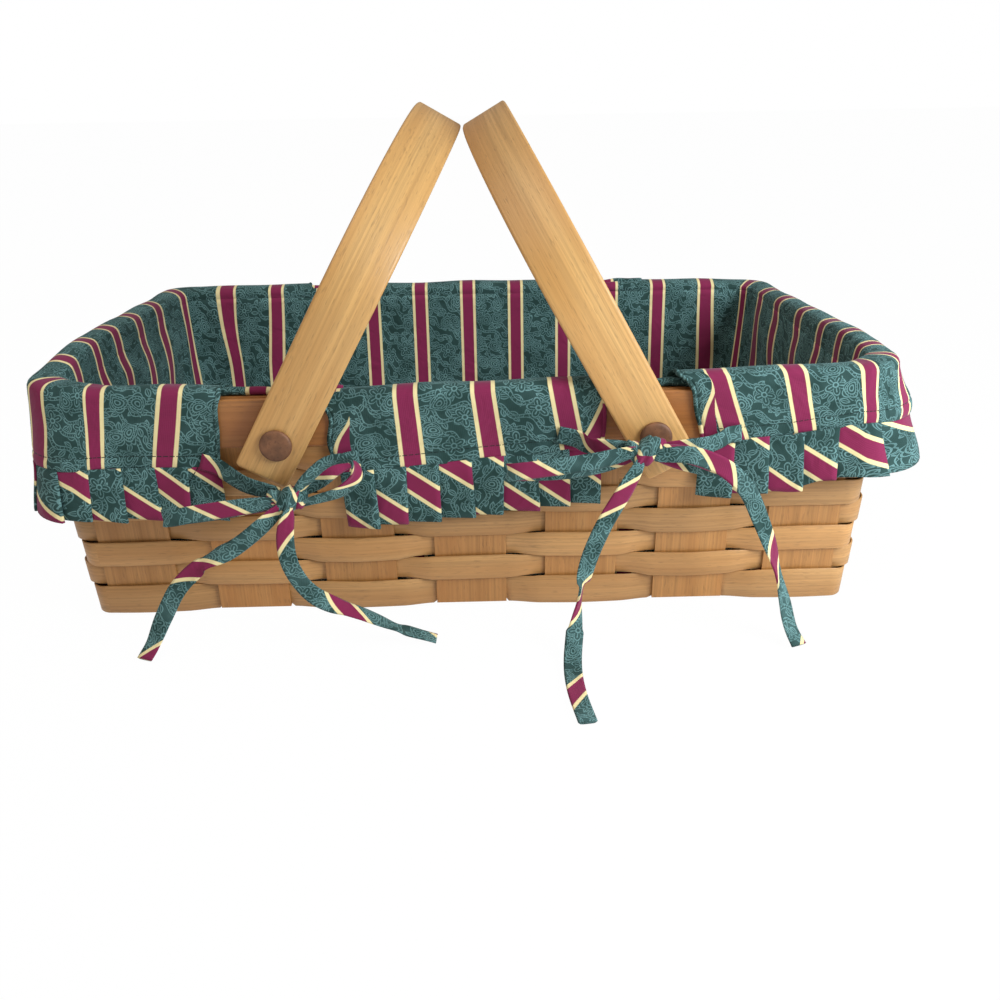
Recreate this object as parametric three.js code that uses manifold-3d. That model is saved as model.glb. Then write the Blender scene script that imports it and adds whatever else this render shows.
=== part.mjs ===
// A woven splint gathering basket with two swinging bentwood handles and a fitted cloth liner.
// Millimetres, +Z up. The origin is the middle of the footprint; the front faces -Y.
import * as THREE from 'three';
import { mergeVertices } from 'three/addons/utils/BufferGeometryUtils.js';
import Module from 'manifold-3d';

const wasm = await Module();
wasm.setup();

// Overall sizes
const RIM_LENGTH = 457;
const RIM_WIDTH = 282;
const BASE_LENGTH = 436;
const BASE_WIDTH = 260;
const BASKET_HEIGHT = 130;
const BASE_CORNER_RADIUS = 9;
const RIM_CORNER_RADIUS = 17;
const LEAST_CORNER_RADIUS = 2;
const CORNER_STEPS = 4;
const FIT_GAP = 0.3;

// Splints that run under the base and up the walls
const SPLINT_THICKNESS = 1.2;
const SPLINT_WIDTH = 40;
const CROSS_SPLINT_COUNT = 7;
const LENGTHWISE_SPLINT_COUNT = 4;
const CROSS_SPLINT_INSET = 12;
const LONG_SPLINT_INSET = 13;
const SPLINT_TOP_SETBACK = 1;
const PLATEAU_MARGIN = 0.5;

// Weavers that go round the walls, over and under the splints
const WEAVER_ROW_COUNT = 7;
const WEAVER_THICKNESS = 1.2;
const WEAVER_ROW_GAP = 0.6;

// Rim bands, one outside the splints and one inside
const RIM_BAND_HEIGHT = 27;
const RIM_BAND_THICKNESS = 3;

// Bentwood handles and the pegs that they turn on
const HANDLE_WIDTH = 29;
const HANDLE_THICKNESS = 6;
const HANDLE_REACH = 171;
const HANDLE_TAIL = 20;
const HANDLE_BEND_DEPTH = 100;
const CROWN_FLAT = 14;
const HANDLE_BEND_STEPS = 12;
const HANDLE_CLEARANCE = 0.6;
const CROWN_GAP = 0.4;
const PIVOT_X = 98;
const BORE_EDGE = 1.7;
const PEG_RADIUS = 3;
const PEG_HEAD_RADIUS = 8;
const PEG_HEAD_THICKNESS = 3;
const PEG_HEAD_EDGE = 1.6;
const PEG_CROWN_RADIUS = 5;
const PEG_SIDES = 16;
const CAP_RADIUS = 7;
const CAP_THICKNESS = 2;

// Cloth liner: a bag inside, four flaps folded over the rim and a pleated ruffle on each flap
const CLOTH_THICKNESS = 1.2;
const FLAP_DROP = { front: 37, right: 27, back: 37, left: 37 };
const FLAP_FOLD_CHAMFER = 0.6;
const FLAP_RISE = { front: 4, right: 9, back: 4, left: 6 };
const CUTOUT_HALF_WIDTH = 30;
const RUFFLE_DROP = 30;
const PLEAT_PITCH = 17.5;
const PLEAT_RETURN = 2.4;
const PLEAT_TOP_DEPTH = 2;
const PLEAT_HEM_DEPTH = 6;
const PLEAT_HEM_STEP = 1.5;

// Ties, folded flat and tied in a bow under each handle leg
const TIE_WIDTH = 9.5;
const TIE_THICKNESS = 1.6;
const LEAD_STEPS = 6;
const LOOP_STEPS = 14;
const TAIL_STEPS = 12;
const KNOT_RADII = [8.5, 6, 6.5];
const KNOT_SIDES = 8;
const KNOT_RINGS = 6;

const MAPLE = new THREE.MeshStandardMaterial({ color: '#be915f', roughness: 0.55 });
const MAPLE_SPLINT = new THREE.MeshStandardMaterial({ color: '#b98246', roughness: 0.55 });
const BENTWOOD = new THREE.MeshStandardMaterial({ color: '#cda064', roughness: 0.5 });
const PEG_WOOD = new THREE.MeshStandardMaterial({ color: '#734e37', roughness: 0.55 });
const PRINTED_COTTON = new THREE.MeshStandardMaterial({ color: '#2f5550', roughness: 0.9 });
const TIE_COTTON = new THREE.MeshStandardMaterial({ color: '#8c2850', roughness: 0.9 });

// The wall's middle surface, halfway through the splints
const HALF = 0.5;
const SIDES = 4;
const splintFace = SPLINT_THICKNESS * HALF + FIT_GAP;
const weaverOffset = splintFace + WEAVER_THICKNESS * HALF;
const weaveFace = splintFace + WEAVER_THICKNESS;
const bandFace = splintFace + RIM_BAND_THICKNESS;
const baseWall = {
  halfLength: BASE_LENGTH * HALF - weaveFace,
  halfWidth: BASE_WIDTH * HALF - weaveFace,
};
const rimWall = {
  halfLength: RIM_LENGTH * HALF - bandFace,
  halfWidth: RIM_WIDTH * HALF - bandFace,
};
const longWallSlope = (rimWall.halfWidth - baseWall.halfWidth) / BASKET_HEIGHT;

function wallAt(z) {
  const share = z / BASKET_HEIGHT;
  return {
    halfLength: THREE.MathUtils.lerp(baseWall.halfLength, rimWall.halfLength, share),
    halfWidth: THREE.MathUtils.lerp(baseWall.halfWidth, rimWall.halfWidth, share),
    radius: THREE.MathUtils.lerp(BASE_CORNER_RADIUS, RIM_CORNER_RADIUS, share),
  };
}

// A station names a place round the wall: on side 0 to 3 by its distance along that side,
// or in the corner after that side by its share of the turn. Side 0 is the front and runs along +X.
const onSide = (index, along, extra = {}) => ({ index, along, ...extra });
const onCorner = (index, turn, extra = {}) => ({ index, turn, ...extra });

function outlinePoint(station, z, offset) {
  const wall = wallAt(z);
  const radius = Math.max(wall.radius + offset, LEAST_CORNER_RADIUS);
  const isLongSide = station.index % 2 === 0;
  const reach = (isLongSide ? wall.halfWidth : wall.halfLength) + offset;
  const span = (isLongSide ? wall.halfLength : wall.halfWidth) + offset;
  const inCorner = station.turn !== undefined;
  const angle = inCorner ? station.turn * Math.PI * HALF : 0;
  const along = inCorner ? span - radius + radius * Math.sin(angle) : station.along;
  const out = inCorner ? reach - radius + radius * Math.cos(angle) : reach;
  const turn = station.index * Math.PI * HALF;
  const x = along * Math.cos(turn) + out * Math.sin(turn);
  const y = along * Math.sin(turn) - out * Math.cos(turn);
  return [x, y, z];
}

function cornerStations(index) {
  const stations = [];
  for (let step = 0; step <= CORNER_STEPS; step += 1) {
    stations.push(onCorner(index, step / CORNER_STEPS));
  }
  return stations;
}

const wholeOutline = [0, 1, 2, 3].flatMap(cornerStations);

function geometryOf(vertices, triangles) {
  const geometry = new THREE.BufferGeometry();
  geometry.setAttribute('position', new THREE.Float32BufferAttribute(vertices.flat(), 3));
  geometry.setIndex(triangles.flat());
  geometry.computeVertexNormals();
  return geometry;
}

// Sweeps one section through a list of places. Each section is a list of points in the same order.
// capFaces triangulates the section for the two ends of an open sweep.
function sweep(sections, capFaces) {
  const count = sections[0].length;
  const closed = capFaces === undefined;
  const triangles = [];
  const last = closed ? sections.length : sections.length - 1;
  for (let i = 0; i < last; i += 1) {
    const here = i * count;
    const next = ((i + 1) % sections.length) * count;
    for (let j = 0; j < count; j += 1) {
      const k = (j + 1) % count;
      triangles.push([here + j, next + j, next + k], [here + j, next + k, here + k]);
    }
  }
  if (!closed) {
    const end = (sections.length - 1) * count;
    capFaces.forEach(([a, b, c]) => {
      triangles.push([a, b, c], [end + a, end + c, end + b]);
    });
  }
  return geometryOf(sections.flat(), triangles);
}

const RECTANGLE_CAP = [[0, 1, 2], [0, 2, 3]];

// A band round the wall between two heights, with its faces at an inner and an outer offset
function bandSection(station, low, high, inner, outer) {
  return [
    outlinePoint(station, low, outer),
    outlinePoint(station, high, outer),
    outlinePoint(station, high, inner),
    outlinePoint(station, low, inner),
  ];
}

// Offsets an open line sideways, with mitred corners
function offsetLine(points, distance) {
  const normals = points.slice(1).map((point, i) => {
    const run = new THREE.Vector2().subVectors(point, points[i]).normalize();
    return new THREE.Vector2(-run.y, run.x);
  });
  return points.map((point, i) => {
    const before = normals[Math.max(i - 1, 0)];
    const after = normals[Math.min(i, normals.length - 1)];
    const miter = before.clone().add(after).normalize();
    return point.clone().addScaledVector(miter, distance / miter.dot(after));
  });
}

// A flat strip that follows a line, with its width square to the line's plane
function stripGeometry(points, thickness, width) {
  const outline = [
    ...offsetLine(points, thickness * HALF),
    ...offsetLine(points, -thickness * HALF).reverse(),
  ];
  const geometry = new THREE.ExtrudeGeometry(new THREE.Shape(outline), {
    depth: width,
    bevelEnabled: false,
  });
  return geometry.translate(0, 0, -width * HALF);
}

const acrossBasket = new THREE.Matrix4().makeBasis(
  new THREE.Vector3(0, 1, 0),
  new THREE.Vector3(0, 0, 1),
  new THREE.Vector3(1, 0, 0),
);
const alongBasket = new THREE.Matrix4().makeBasis(
  new THREE.Vector3(1, 0, 0),
  new THREE.Vector3(0, 0, 1),
  new THREE.Vector3(0, -1, 0),
);

function toSolid(source) {
  const geometry = source.clone();
  geometry.deleteAttribute('normal');
  geometry.deleteAttribute('uv');
  const merged = mergeVertices(geometry);
  return new wasm.Manifold(new wasm.Mesh({
    numProp: 3,
    vertProperties: Float32Array.from(merged.attributes.position.array),
    triVerts: Uint32Array.from(merged.index.array),
  }));
}

function fromSolid(solid) {
  const mesh = solid.getMesh();
  const geometry = new THREE.BufferGeometry();
  geometry.setAttribute('position', new THREE.BufferAttribute(mesh.vertProperties, 3));
  geometry.setIndex(new THREE.BufferAttribute(mesh.triVerts, 1));
  geometry.computeVertexNormals();
  return geometry;
}

function cut(geometry, tools) {
  const solid = tools.reduce((rest, tool) => rest.subtract(toSolid(tool)), toSolid(geometry));
  return fromSolid(solid);
}

function join(geometries) {
  const [first, ...others] = geometries.map(toSolid);
  return fromSolid(others.reduce((whole, other) => whole.add(other), first));
}

function pointsToLathe(profile) {
  const points = profile.map(([radius, height]) => new THREE.Vector2(radius, height));
  return new THREE.LatheGeometry(points, PEG_SIDES);
}

const basket = new THREE.Group();

function addPart(name, geometry, material, group = basket) {
  const mesh = new THREE.Mesh(geometry, material);
  mesh.name = name;
  group.add(mesh);
  return mesh;
}

// Pivots and pegs: the bores leave an edge of wood at the foot of the rim bands
const rimBottom = BASKET_HEIGHT - RIM_BAND_HEIGHT;
const boreRadius = PEG_RADIUS + FIT_GAP;
const pivotZ = rimBottom + BORE_EDGE + boreRadius;
const highestFold = BASKET_HEIGHT + Math.max(...Object.values(FLAP_RISE)) + CLOTH_THICKNESS;
const flapInner = bandFace + FIT_GAP;
const flapOuter = flapInner + CLOTH_THICKNESS;
const legInnerFace = wallAt(highestFold).halfWidth + flapOuter + HANDLE_CLEARANCE;
const legOuterFace = legInnerFace + HANDLE_THICKNESS;
const legMiddle = (legInnerFace + legOuterFace) * HALF;
const capSlopeRoom = Math.abs(longWallSlope) * CAP_RADIUS;
const capOuterFace = wallAt(pivotZ).halfWidth - bandFace - FIT_GAP - capSlopeRoom;
const capInnerFace = capOuterFace - CAP_THICKNESS;

const corners = [
  { name: 'front_left', sideX: -1, sideY: -1 },
  { name: 'front_right', sideX: 1, sideY: -1 },
  { name: 'back_right', sideX: 1, sideY: 1 },
  { name: 'back_left', sideX: -1, sideY: 1 },
];

function boreTools(x, z) {
  const length = (legOuterFace + HANDLE_WIDTH) * 2;
  const bore = new THREE.CylinderGeometry(boreRadius, boreRadius, length, PEG_SIDES);
  return bore.translate(x, 0, z);
}

const pegBores = [-1, 1].map((sideX) => boreTools(sideX * PIVOT_X, pivotZ));

function addPegs() {
  const headBack = legOuterFace + FIT_GAP;
  const headFront = headBack + PEG_HEAD_THICKNESS;
  const pegProfile = [
    [0, capInnerFace],
    [PEG_RADIUS, capInnerFace],
    [PEG_RADIUS, headBack],
    [PEG_HEAD_RADIUS, headBack],
    [PEG_HEAD_RADIUS, headBack + PEG_HEAD_EDGE],
    [PEG_CROWN_RADIUS, headFront],
    [0, headFront],
  ];
  const capProfile = [
    [boreRadius, capInnerFace],
    [CAP_RADIUS, capInnerFace],
    [CAP_RADIUS, capOuterFace],
    [boreRadius, capOuterFace],
    [boreRadius, capInnerFace],
  ];
  corners.forEach(({ name, sideX, sideY }) => {
    const place = new THREE.Group();
    place.position.set(sideX * PIVOT_X, 0, pivotZ);
    place.rotation.z = sideY > 0 ? 0 : Math.PI;
    addPart(`peg_${name}`, pointsToLathe(pegProfile), PEG_WOOD, place);
    addPart(`peg_cap_${name}`, pointsToLathe(capProfile), PEG_WOOD, place);
    basket.add(place);
  });
}

// Splints: the crosswise ones lie flat under the base, the lengthwise ones weave over and under them
function spread(count, outside, inset) {
  const first = outside * HALF - inset - SPLINT_WIDTH * HALF;
  const centres = [];
  for (let i = 0; i < count; i += 1) {
    centres.push(THREE.MathUtils.lerp(-first, first, i / (count - 1)));
  }
  return centres;
}

const crossCentres = spread(CROSS_SPLINT_COUNT, BASE_LENGTH, CROSS_SPLINT_INSET);
const longCentres = spread(LENGTHWISE_SPLINT_COUNT, BASE_WIDTH, LONG_SPLINT_INSET);
const plateauHalf = SPLINT_WIDTH * HALF + PLATEAU_MARGIN;
const splintStep = SPLINT_THICKNESS + FIT_GAP;
const lowLevel = SPLINT_THICKNESS * HALF;
const crossLevel = lowLevel + splintStep;
const highLevel = crossLevel + splintStep;
const baseTop = highLevel + SPLINT_THICKNESS * HALF;
const splintTop = BASKET_HEIGHT - SPLINT_TOP_SETBACK;

function addSplints() {
  const crossLine = [
    new THREE.Vector2(-wallAt(splintTop).halfWidth, splintTop),
    new THREE.Vector2(-wallAt(crossLevel).halfWidth, crossLevel),
    new THREE.Vector2(wallAt(crossLevel).halfWidth, crossLevel),
    new THREE.Vector2(wallAt(splintTop).halfWidth, splintTop),
  ];
  crossCentres.forEach((x, i) => {
    const strip = stripGeometry(crossLine, SPLINT_THICKNESS, SPLINT_WIDTH);
    strip.applyMatrix4(acrossBasket).translate(x, 0, 0);
    addPart(`cross_splint_${i + 1}`, cut(strip, pegBores), MAPLE_SPLINT);
  });

  longCentres.forEach((y, j) => {
    const levels = crossCentres.map((x, i) => ((i + j) % 2 === 0 ? highLevel : lowLevel));
    const lastLevel = levels[levels.length - 1];
    const woven = crossCentres.flatMap((x, i) => [
      new THREE.Vector2(x - plateauHalf, levels[i]),
      new THREE.Vector2(x + plateauHalf, levels[i]),
    ]);
    const line = [
      new THREE.Vector2(-wallAt(splintTop).halfLength, splintTop),
      new THREE.Vector2(-wallAt(levels[0]).halfLength, levels[0]),
      ...woven,
      new THREE.Vector2(wallAt(lastLevel).halfLength, lastLevel),
      new THREE.Vector2(wallAt(splintTop).halfLength, splintTop),
    ];
    const strip = stripGeometry(line, SPLINT_THICKNESS, SPLINT_WIDTH);
    strip.applyMatrix4(alongBasket).translate(0, y, 0);
    addPart(`long_splint_${j + 1}`, strip, MAPLE_SPLINT);
  });
}

// Weavers: closed rings, each one splint out of step with the row below
const CORNER_WAVE = [HALF, 0, -HALF];

function weaverStations(row) {
  const stations = [];
  let splint = row;
  for (let index = 0; index < SIDES; index += 1) {
    const centres = index % 2 === 0 ? crossCentres : longCentres;
    let wave = 1;
    centres.forEach((centre, i) => {
      wave = splint % 2 === 0 ? 1 : -1;
      splint += 1;
      stations.push(onSide(index, centre - plateauHalf, { wave }));
      stations.push(onSide(index, centre + plateauHalf, { wave }));
      if (i + 1 < centres.length) {
        stations.push(onSide(index, (centre + centres[i + 1]) * HALF, { wave: 0 }));
      }
    });
    CORNER_WAVE.forEach((share, i) => {
      const turn = i / (CORNER_WAVE.length - 1);
      stations.push(onCorner(index, turn, { wave: wave * share }));
    });
  }
  return stations;
}

const rowStart = baseTop + FIT_GAP;
const rowPitch = (rimBottom - rowStart) / WEAVER_ROW_COUNT;

function addWeavers() {
  for (let row = 0; row < WEAVER_ROW_COUNT; row += 1) {
    const low = rowStart + row * rowPitch;
    const high = low + rowPitch - WEAVER_ROW_GAP;
    const sections = weaverStations(row).map((station) => {
      const middle = weaverOffset * station.wave;
      const inner = middle - WEAVER_THICKNESS * HALF;
      return bandSection(station, low, high, inner, inner + WEAVER_THICKNESS);
    });
    addPart(`weaver_${row + 1}`, sweep(sections), MAPLE);
  }
}

function addRim() {
  const faces = { outer: [splintFace, bandFace], inner: [-bandFace, -splintFace] };
  Object.entries(faces).forEach(([name, [inner, outer]]) => {
    const sections = wholeOutline.map((station) => (
      bandSection(station, rimBottom, BASKET_HEIGHT, inner, outer)));
    addPart(`rim_band_${name}`, cut(sweep(sections), pegBores), MAPLE);
  });
}

// Handles: flat bentwood arches that lean together until their crowns meet over the middle
const crownOut = HANDLE_REACH + HANDLE_THICKNESS * HALF;
const crownHalf = HANDLE_WIDTH * HALF;
const crownAngle = Math.atan2(crownHalf, crownOut);
const crownX = PIVOT_X - CROWN_GAP * HALF;
const handleLean = Math.asin(crownX / Math.hypot(crownOut, crownHalf)) - crownAngle;

function handleLine() {
  const bendStart = HANDLE_REACH - HANDLE_BEND_DEPTH;
  const bendWidth = legMiddle - CROWN_FLAT * HALF;
  const half = [new THREE.Vector2(-legMiddle, -HANDLE_TAIL)];
  for (let step = 0; step <= HANDLE_BEND_STEPS; step += 1) {
    const angle = (step / HANDLE_BEND_STEPS) * Math.PI * HALF;
    half.push(new THREE.Vector2(
      -legMiddle + bendWidth * (1 - Math.cos(angle)),
      bendStart + HANDLE_BEND_DEPTH * Math.sin(angle),
    ));
  }
  const mirrored = half.map((point) => new THREE.Vector2(-point.x, point.y)).reverse();
  return [...half, ...mirrored];
}

function addHandles() {
  ['left', 'right'].forEach((name) => {
    const sideX = name === 'left' ? -1 : 1;
    const strip = stripGeometry(handleLine(), HANDLE_THICKNESS, HANDLE_WIDTH).applyMatrix4(acrossBasket);
    const pivot = new THREE.Group();
    pivot.position.set(sideX * PIVOT_X, 0, pivotZ);
    pivot.rotation.y = -sideX * handleLean;
    addPart(`handle_${name}`, cut(strip, [boreTools(0, 0)]), BENTWOOD, pivot);
    basket.add(pivot);
  });
}

// Liner
const bagOuter = -(wallAt(pivotZ).halfWidth - capInnerFace) - FIT_GAP - capSlopeRoom;
const bagInner = bagOuter - CLOTH_THICKNESS;

function addBag() {
  const bottom = baseTop + FIT_GAP;
  const levels = [
    [bottom, bagOuter],
    [BASKET_HEIGHT, bagOuter],
    [BASKET_HEIGHT, bagInner],
    [bottom + CLOTH_THICKNESS, bagInner],
  ];
  const count = wholeOutline.length;
  const vertices = levels.flatMap(([z, offset]) => (
    wholeOutline.map((station) => outlinePoint(station, z, offset))));
  const triangles = [];
  for (let ring = 0; ring + 1 < levels.length; ring += 1) {
    for (let j = 0; j < count; j += 1) {
      const a = ring * count + j;
      const b = ring * count + ((j + 1) % count);
      triangles.push([a, b, b + count], [a, b + count, a + count]);
    }
  }
  const inside = (levels.length - 1) * count;
  for (let j = 1; j + 1 < count; j += 1) {
    triangles.push([0, j + 1, j], [inside, inside + j, inside + j + 1]);
  }
  addPart('liner_bag', geometryOf(vertices, triangles), PRINTED_COTTON);
}

// Each flap runs between two cut-outs: the end flaps wrap round both corners of their end
const innerEdge = PIVOT_X - CUTOUT_HALF_WIDTH;
const outerEdge = PIVOT_X + CUTOUT_HALF_WIDTH;
const flapRuns = {
  front: [onSide(0, -innerEdge), onSide(0, innerEdge)],
  right: [
    onSide(0, outerEdge),
    ...cornerStations(0),
    ...cornerStations(1),
    onSide(2, -outerEdge),
  ],
  back: [onSide(2, -innerEdge), onSide(2, innerEdge)],
  left: [
    onSide(2, outerEdge),
    ...cornerStations(2),
    ...cornerStations(3),
    onSide(0, -outerEdge),
  ],
};
const seamOf = (name) => BASKET_HEIGHT - FLAP_DROP[name];

function flapProfile(name) {
  const seamZ = seamOf(name);
  const top = BASKET_HEIGHT + FLAP_RISE[name] + CLOTH_THICKNESS;
  const under = top - CLOTH_THICKNESS;
  const shoulder = top - FLAP_FOLD_CHAMFER;
  const insideHem = BASKET_HEIGHT + FIT_GAP;
  return [
    [flapOuter, seamZ],
    [flapOuter, shoulder],
    [flapOuter - FLAP_FOLD_CHAMFER, top],
    [bagInner + FLAP_FOLD_CHAMFER, top],
    [bagInner, shoulder],
    [bagInner, insideHem],
    [bagOuter, insideHem],
    [bagOuter, under],
    [flapInner, under],
    [flapInner, seamZ],
  ];
}

function addFlaps() {
  Object.entries(flapRuns).forEach(([name, run]) => {
    const profile = flapProfile(name);
    const flat = profile.map(([offset, z]) => new THREE.Vector2(offset, z));
    const capFaces = THREE.ShapeUtils.triangulateShape(flat, []);
    const sections = run.map((station) => (
      profile.map(([offset, z]) => outlinePoint(station, z, offset))));
    addPart(`flap_${name}`, sweep(sections, capFaces), PRINTED_COTTON);
  });
}

// Finds the station at a distance along a run, measured at the seam
function walker(run, seamZ) {
  const seam = wallAt(seamZ);
  const places = run.map((station) => new THREE.Vector3(...outlinePoint(station, seamZ, flapInner)));
  const distances = [0];
  places.slice(1).forEach((place, i) => {
    distances.push(distances[i] + place.distanceTo(places[i]));
  });
  const straightHalf = (index) => (
    (index % 2 === 0 ? seam.halfLength : seam.halfWidth) - seam.radius);
  const total = distances[distances.length - 1];
  const at = (distance) => {
    const found = distances.findIndex((end, i) => i > 0 && distance <= end);
    const i = found < 0 ? distances.length - 1 : found;
    const from = run[i - 1];
    const to = run[i];
    const share = (distance - distances[i - 1]) / (distances[i] - distances[i - 1]);
    const sameCorner = from.turn !== undefined && to.turn !== undefined && from.index === to.index;
    if (sameCorner) return onCorner(from.index, THREE.MathUtils.lerp(from.turn, to.turn, share));
    const index = from.turn === undefined ? from.index : from.index + 1;
    const start = from.turn === undefined ? from.along : -straightHalf(index);
    const end = to.turn === undefined ? to.along : straightHalf(index);
    return onSide(index % SIDES, THREE.MathUtils.lerp(start, end, share));
  };
  return { total, at };
}

// Knife pleats: each one swells outward to a crisp fold and then tucks back under the next
function ruffleSections(run, seamZ) {
  const { total, at } = walker(run, seamZ);
  const pleats = Math.round(total / PLEAT_PITCH);
  const pitch = total / pleats;
  const tuck = PLEAT_RETURN * HALF;
  const top = seamZ - FIT_GAP;
  const sections = [];
  for (let pleat = 0; pleat < pleats; pleat += 1) {
    const start = pleat * pitch + (pleat > 0 ? tuck : 0);
    const end = (pleat + 1) * pitch - (pleat + 1 < pleats ? tuck : 0);
    [0, HALF, 1].forEach((swell) => {
      const station = at(THREE.MathUtils.lerp(start, end, swell));
      const hem = top - RUFFLE_DROP - PLEAT_HEM_STEP * (1 - swell);
      const topInner = flapInner + PLEAT_TOP_DEPTH * swell;
      const hemInner = flapInner + PLEAT_HEM_DEPTH * swell;
      sections.push([
        outlinePoint(station, hem, hemInner + CLOTH_THICKNESS),
        outlinePoint(station, top, topInner + CLOTH_THICKNESS),
        outlinePoint(station, top, topInner),
        outlinePoint(station, hem, hemInner),
      ]);
    });
  }
  return sections;
}

function addRuffles() {
  Object.entries(flapRuns).forEach(([name, run]) => {
    const sections = ruffleSections(run, seamOf(name));
    addPart(`ruffle_${name}`, sweep(sections, RECTANGLE_CAP), PRINTED_COTTON);
  });
}

// Ties. Every route is a list of chosen points; a flat strip follows the smooth curve through them.
const FACE_FRONT = new THREE.Vector3(0, -1, 0);
const FACE_UP = new THREE.Vector3(0, 0, 1);
const UPRIGHT = new THREE.Vector3(0, 0, 1);

function tie(route, steps, acrossAt) {
  const curve = new THREE.CatmullRomCurve3(route.map((point) => new THREE.Vector3(...point)));
  const sections = [];
  for (let step = 0; step <= steps; step += 1) {
    const share = step / steps;
    const place = curve.getPointAt(share);
    const tangent = curve.getTangentAt(share);
    const across = acrossAt(share, tangent);
    across.addScaledVector(tangent, -across.dot(tangent)).normalize();
    const face = new THREE.Vector3().crossVectors(across, tangent);
    const corner = (w, t) => place.clone()
      .addScaledVector(across, w * TIE_WIDTH * HALF)
      .addScaledVector(face, t * TIE_THICKNESS * HALF)
      .toArray();
    sections.push([corner(-1, -1), corner(1, -1), corner(1, 1), corner(-1, 1)]);
  }
  return sweep(sections, RECTANGLE_CAP);
}

// A tail faces forward where it hangs and turns its face up where it reaches the table
function tail(route, lieFrom) {
  return tie(route, TAIL_STEPS, (share, tangent) => {
    const turn = THREE.MathUtils.smoothstep(share, lieFrom, 1);
    const face = FACE_FRONT.clone().lerp(FACE_UP, turn);
    return new THREE.Vector3().crossVectors(tangent, face);
  });
}

const loop = (route, across) => tie(route, LOOP_STEPS, () => across.clone());

function knotBody(centre, extra = 0) {
  const [rx, ry, rz] = KNOT_RADII;
  const ball = new THREE.SphereGeometry(1, KNOT_SIDES, KNOT_RINGS);
  return ball.scale(rx + extra, ry + extra, rz + extra).translate(...centre);
}

const bows = {
  left: {
    knot: [-93, -160, 82],
    leads: [
      [[-131, -143.9, 107.5], [-127, -148, 103], [-116, -153, 93], [-97, -156.5, 84]],
      [[-65, -142.2, 99], [-70, -147, 95], [-77, -153, 89], [-89, -156.5, 84]],
    ],
    loops: [
      {
        name: 'loop_left',
        across: UPRIGHT,
        route: [
          [-98, -163, 82], [-115, -165.5, 81], [-137, -166, 78], [-153, -165, 75], [-157, -162.5, 74],
          [-152, -160, 73], [-132, -159.6, 75], [-113, -159.6, 78], [-98, -160, 80],
        ],
      },
      {
        name: 'loop_right',
        across: new THREE.Vector3(-0.35, -0.75, 0.55),
        route: [
          [-88, -162, 85], [-81, -162, 94], [-69, -162, 103], [-59, -162, 103], [-57, -162, 95],
          [-65, -162, 87], [-76, -162, 83], [-87, -162, 80],
        ],
      },
    ],
    tails: [
      {
        name: 'tail_left',
        lieFrom: 0.7,
        route: [
          [-96, -165.8, 79.5], [-106, -168.4, 71], [-121, -168, 59], [-140, -167, 48], [-153, -167, 36],
          [-163, -169, 19], [-169, -175, 6], [-172, -182, 1.4],
        ],
      },
      {
        name: 'tail_right',
        lieFrom: 0.6,
        route: [
          [-91, -167.6, 80.5], [-94, -170.6, 65], [-92, -171, 48], [-81, -170, 30], [-57, -168, 17],
          [-37, -168, 7], [-19, -169, 1.4],
        ],
      },
    ],
  },
  right: {
    knot: [91, -161, 105],
    leads: [
      [[64, -142.2, 103], [62, -148, 104], [67, -154.5, 105], [86, -157.6, 105]],
      [[133, -142.8, 109], [135, -148, 107], [128, -154.5, 105], [96, -157.6, 104]],
    ],
    loops: [
      {
        name: 'loop_left',
        across: UPRIGHT,
        route: [
          [86, -163.6, 106], [66, -166, 102], [42, -167, 99], [26, -166, 97], [21, -163.5, 95.5],
          [26, -161, 94], [46, -160.6, 94], [68, -160.6, 97], [85, -160.8, 102],
        ],
      },
      {
        name: 'loop_right',
        across: UPRIGHT,
        route: [
          [96, -163.6, 106], [110, -165.6, 104], [124, -165.6, 99], [130, -163.6, 96],
          [125, -161.2, 95], [111, -160.8, 98], [97, -160.8, 102],
        ],
      },
    ],
    tails: [
      {
        name: 'tail_left',
        lieFrom: 0.35,
        route: [
          [88, -166, 101], [80, -169.4, 87], [69, -170, 66], [61, -170, 44], [57, -173, 23],
          [54, -183, 7], [52, -200, 1.6], [52, -222, 1.4], [55, -247, 1.4],
        ],
      },
      {
        name: 'tail_right',
        lieFrom: 0.75,
        route: [
          [95, -166.4, 104], [113, -169, 105], [130, -170, 98], [142, -170, 86], [150, -170, 70],
          [159, -170, 47], [166, -172, 24], [170, -177, 8], [173, -184, 1.4],
        ],
      },
    ],
  },
};

// The back bows are the front ones turned half round
function addBows() {
  const views = { front: { left: 'left', right: 'right' }, back: { left: 'right', right: 'left' } };
  Object.entries(views).forEach(([view, names]) => {
    const group = new THREE.Group();
    group.rotation.z = view === 'front' ? 0 : Math.PI;
    Object.entries(bows).forEach(([design, bow]) => {
      const name = `bow_${view}_${names[design]}`;
      const leads = bow.leads.map((route) => tie(route, LEAD_STEPS, () => UPRIGHT.clone()));
      const room = [knotBody(bow.knot, FIT_GAP)];
      addPart(`${name}_knot`, join([knotBody(bow.knot), ...leads]), TIE_COTTON, group);
      bow.loops.forEach((piece) => {
        addPart(`${name}_${piece.name}`, cut(loop(piece.route, piece.across), room), TIE_COTTON, group);
      });
      bow.tails.forEach((piece) => {
        addPart(`${name}_${piece.name}`, cut(tail(piece.route, piece.lieFrom), room), TIE_COTTON, group);
      });
    });
    basket.add(group);
  });
}

addSplints();
addWeavers();
addRim();
addPegs();
addHandles();
addBag();
addFlaps();
addRuffles();
addBows();

export default basket;
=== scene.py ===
"""A woven splint gathering basket with two swinging handles and a tied cloth liner.

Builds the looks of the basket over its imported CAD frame. Shapes are worked out in millimetres in the
frame's own axes, with the front towards -Y, and become metres when a mesh is made.
"""

import math

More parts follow.
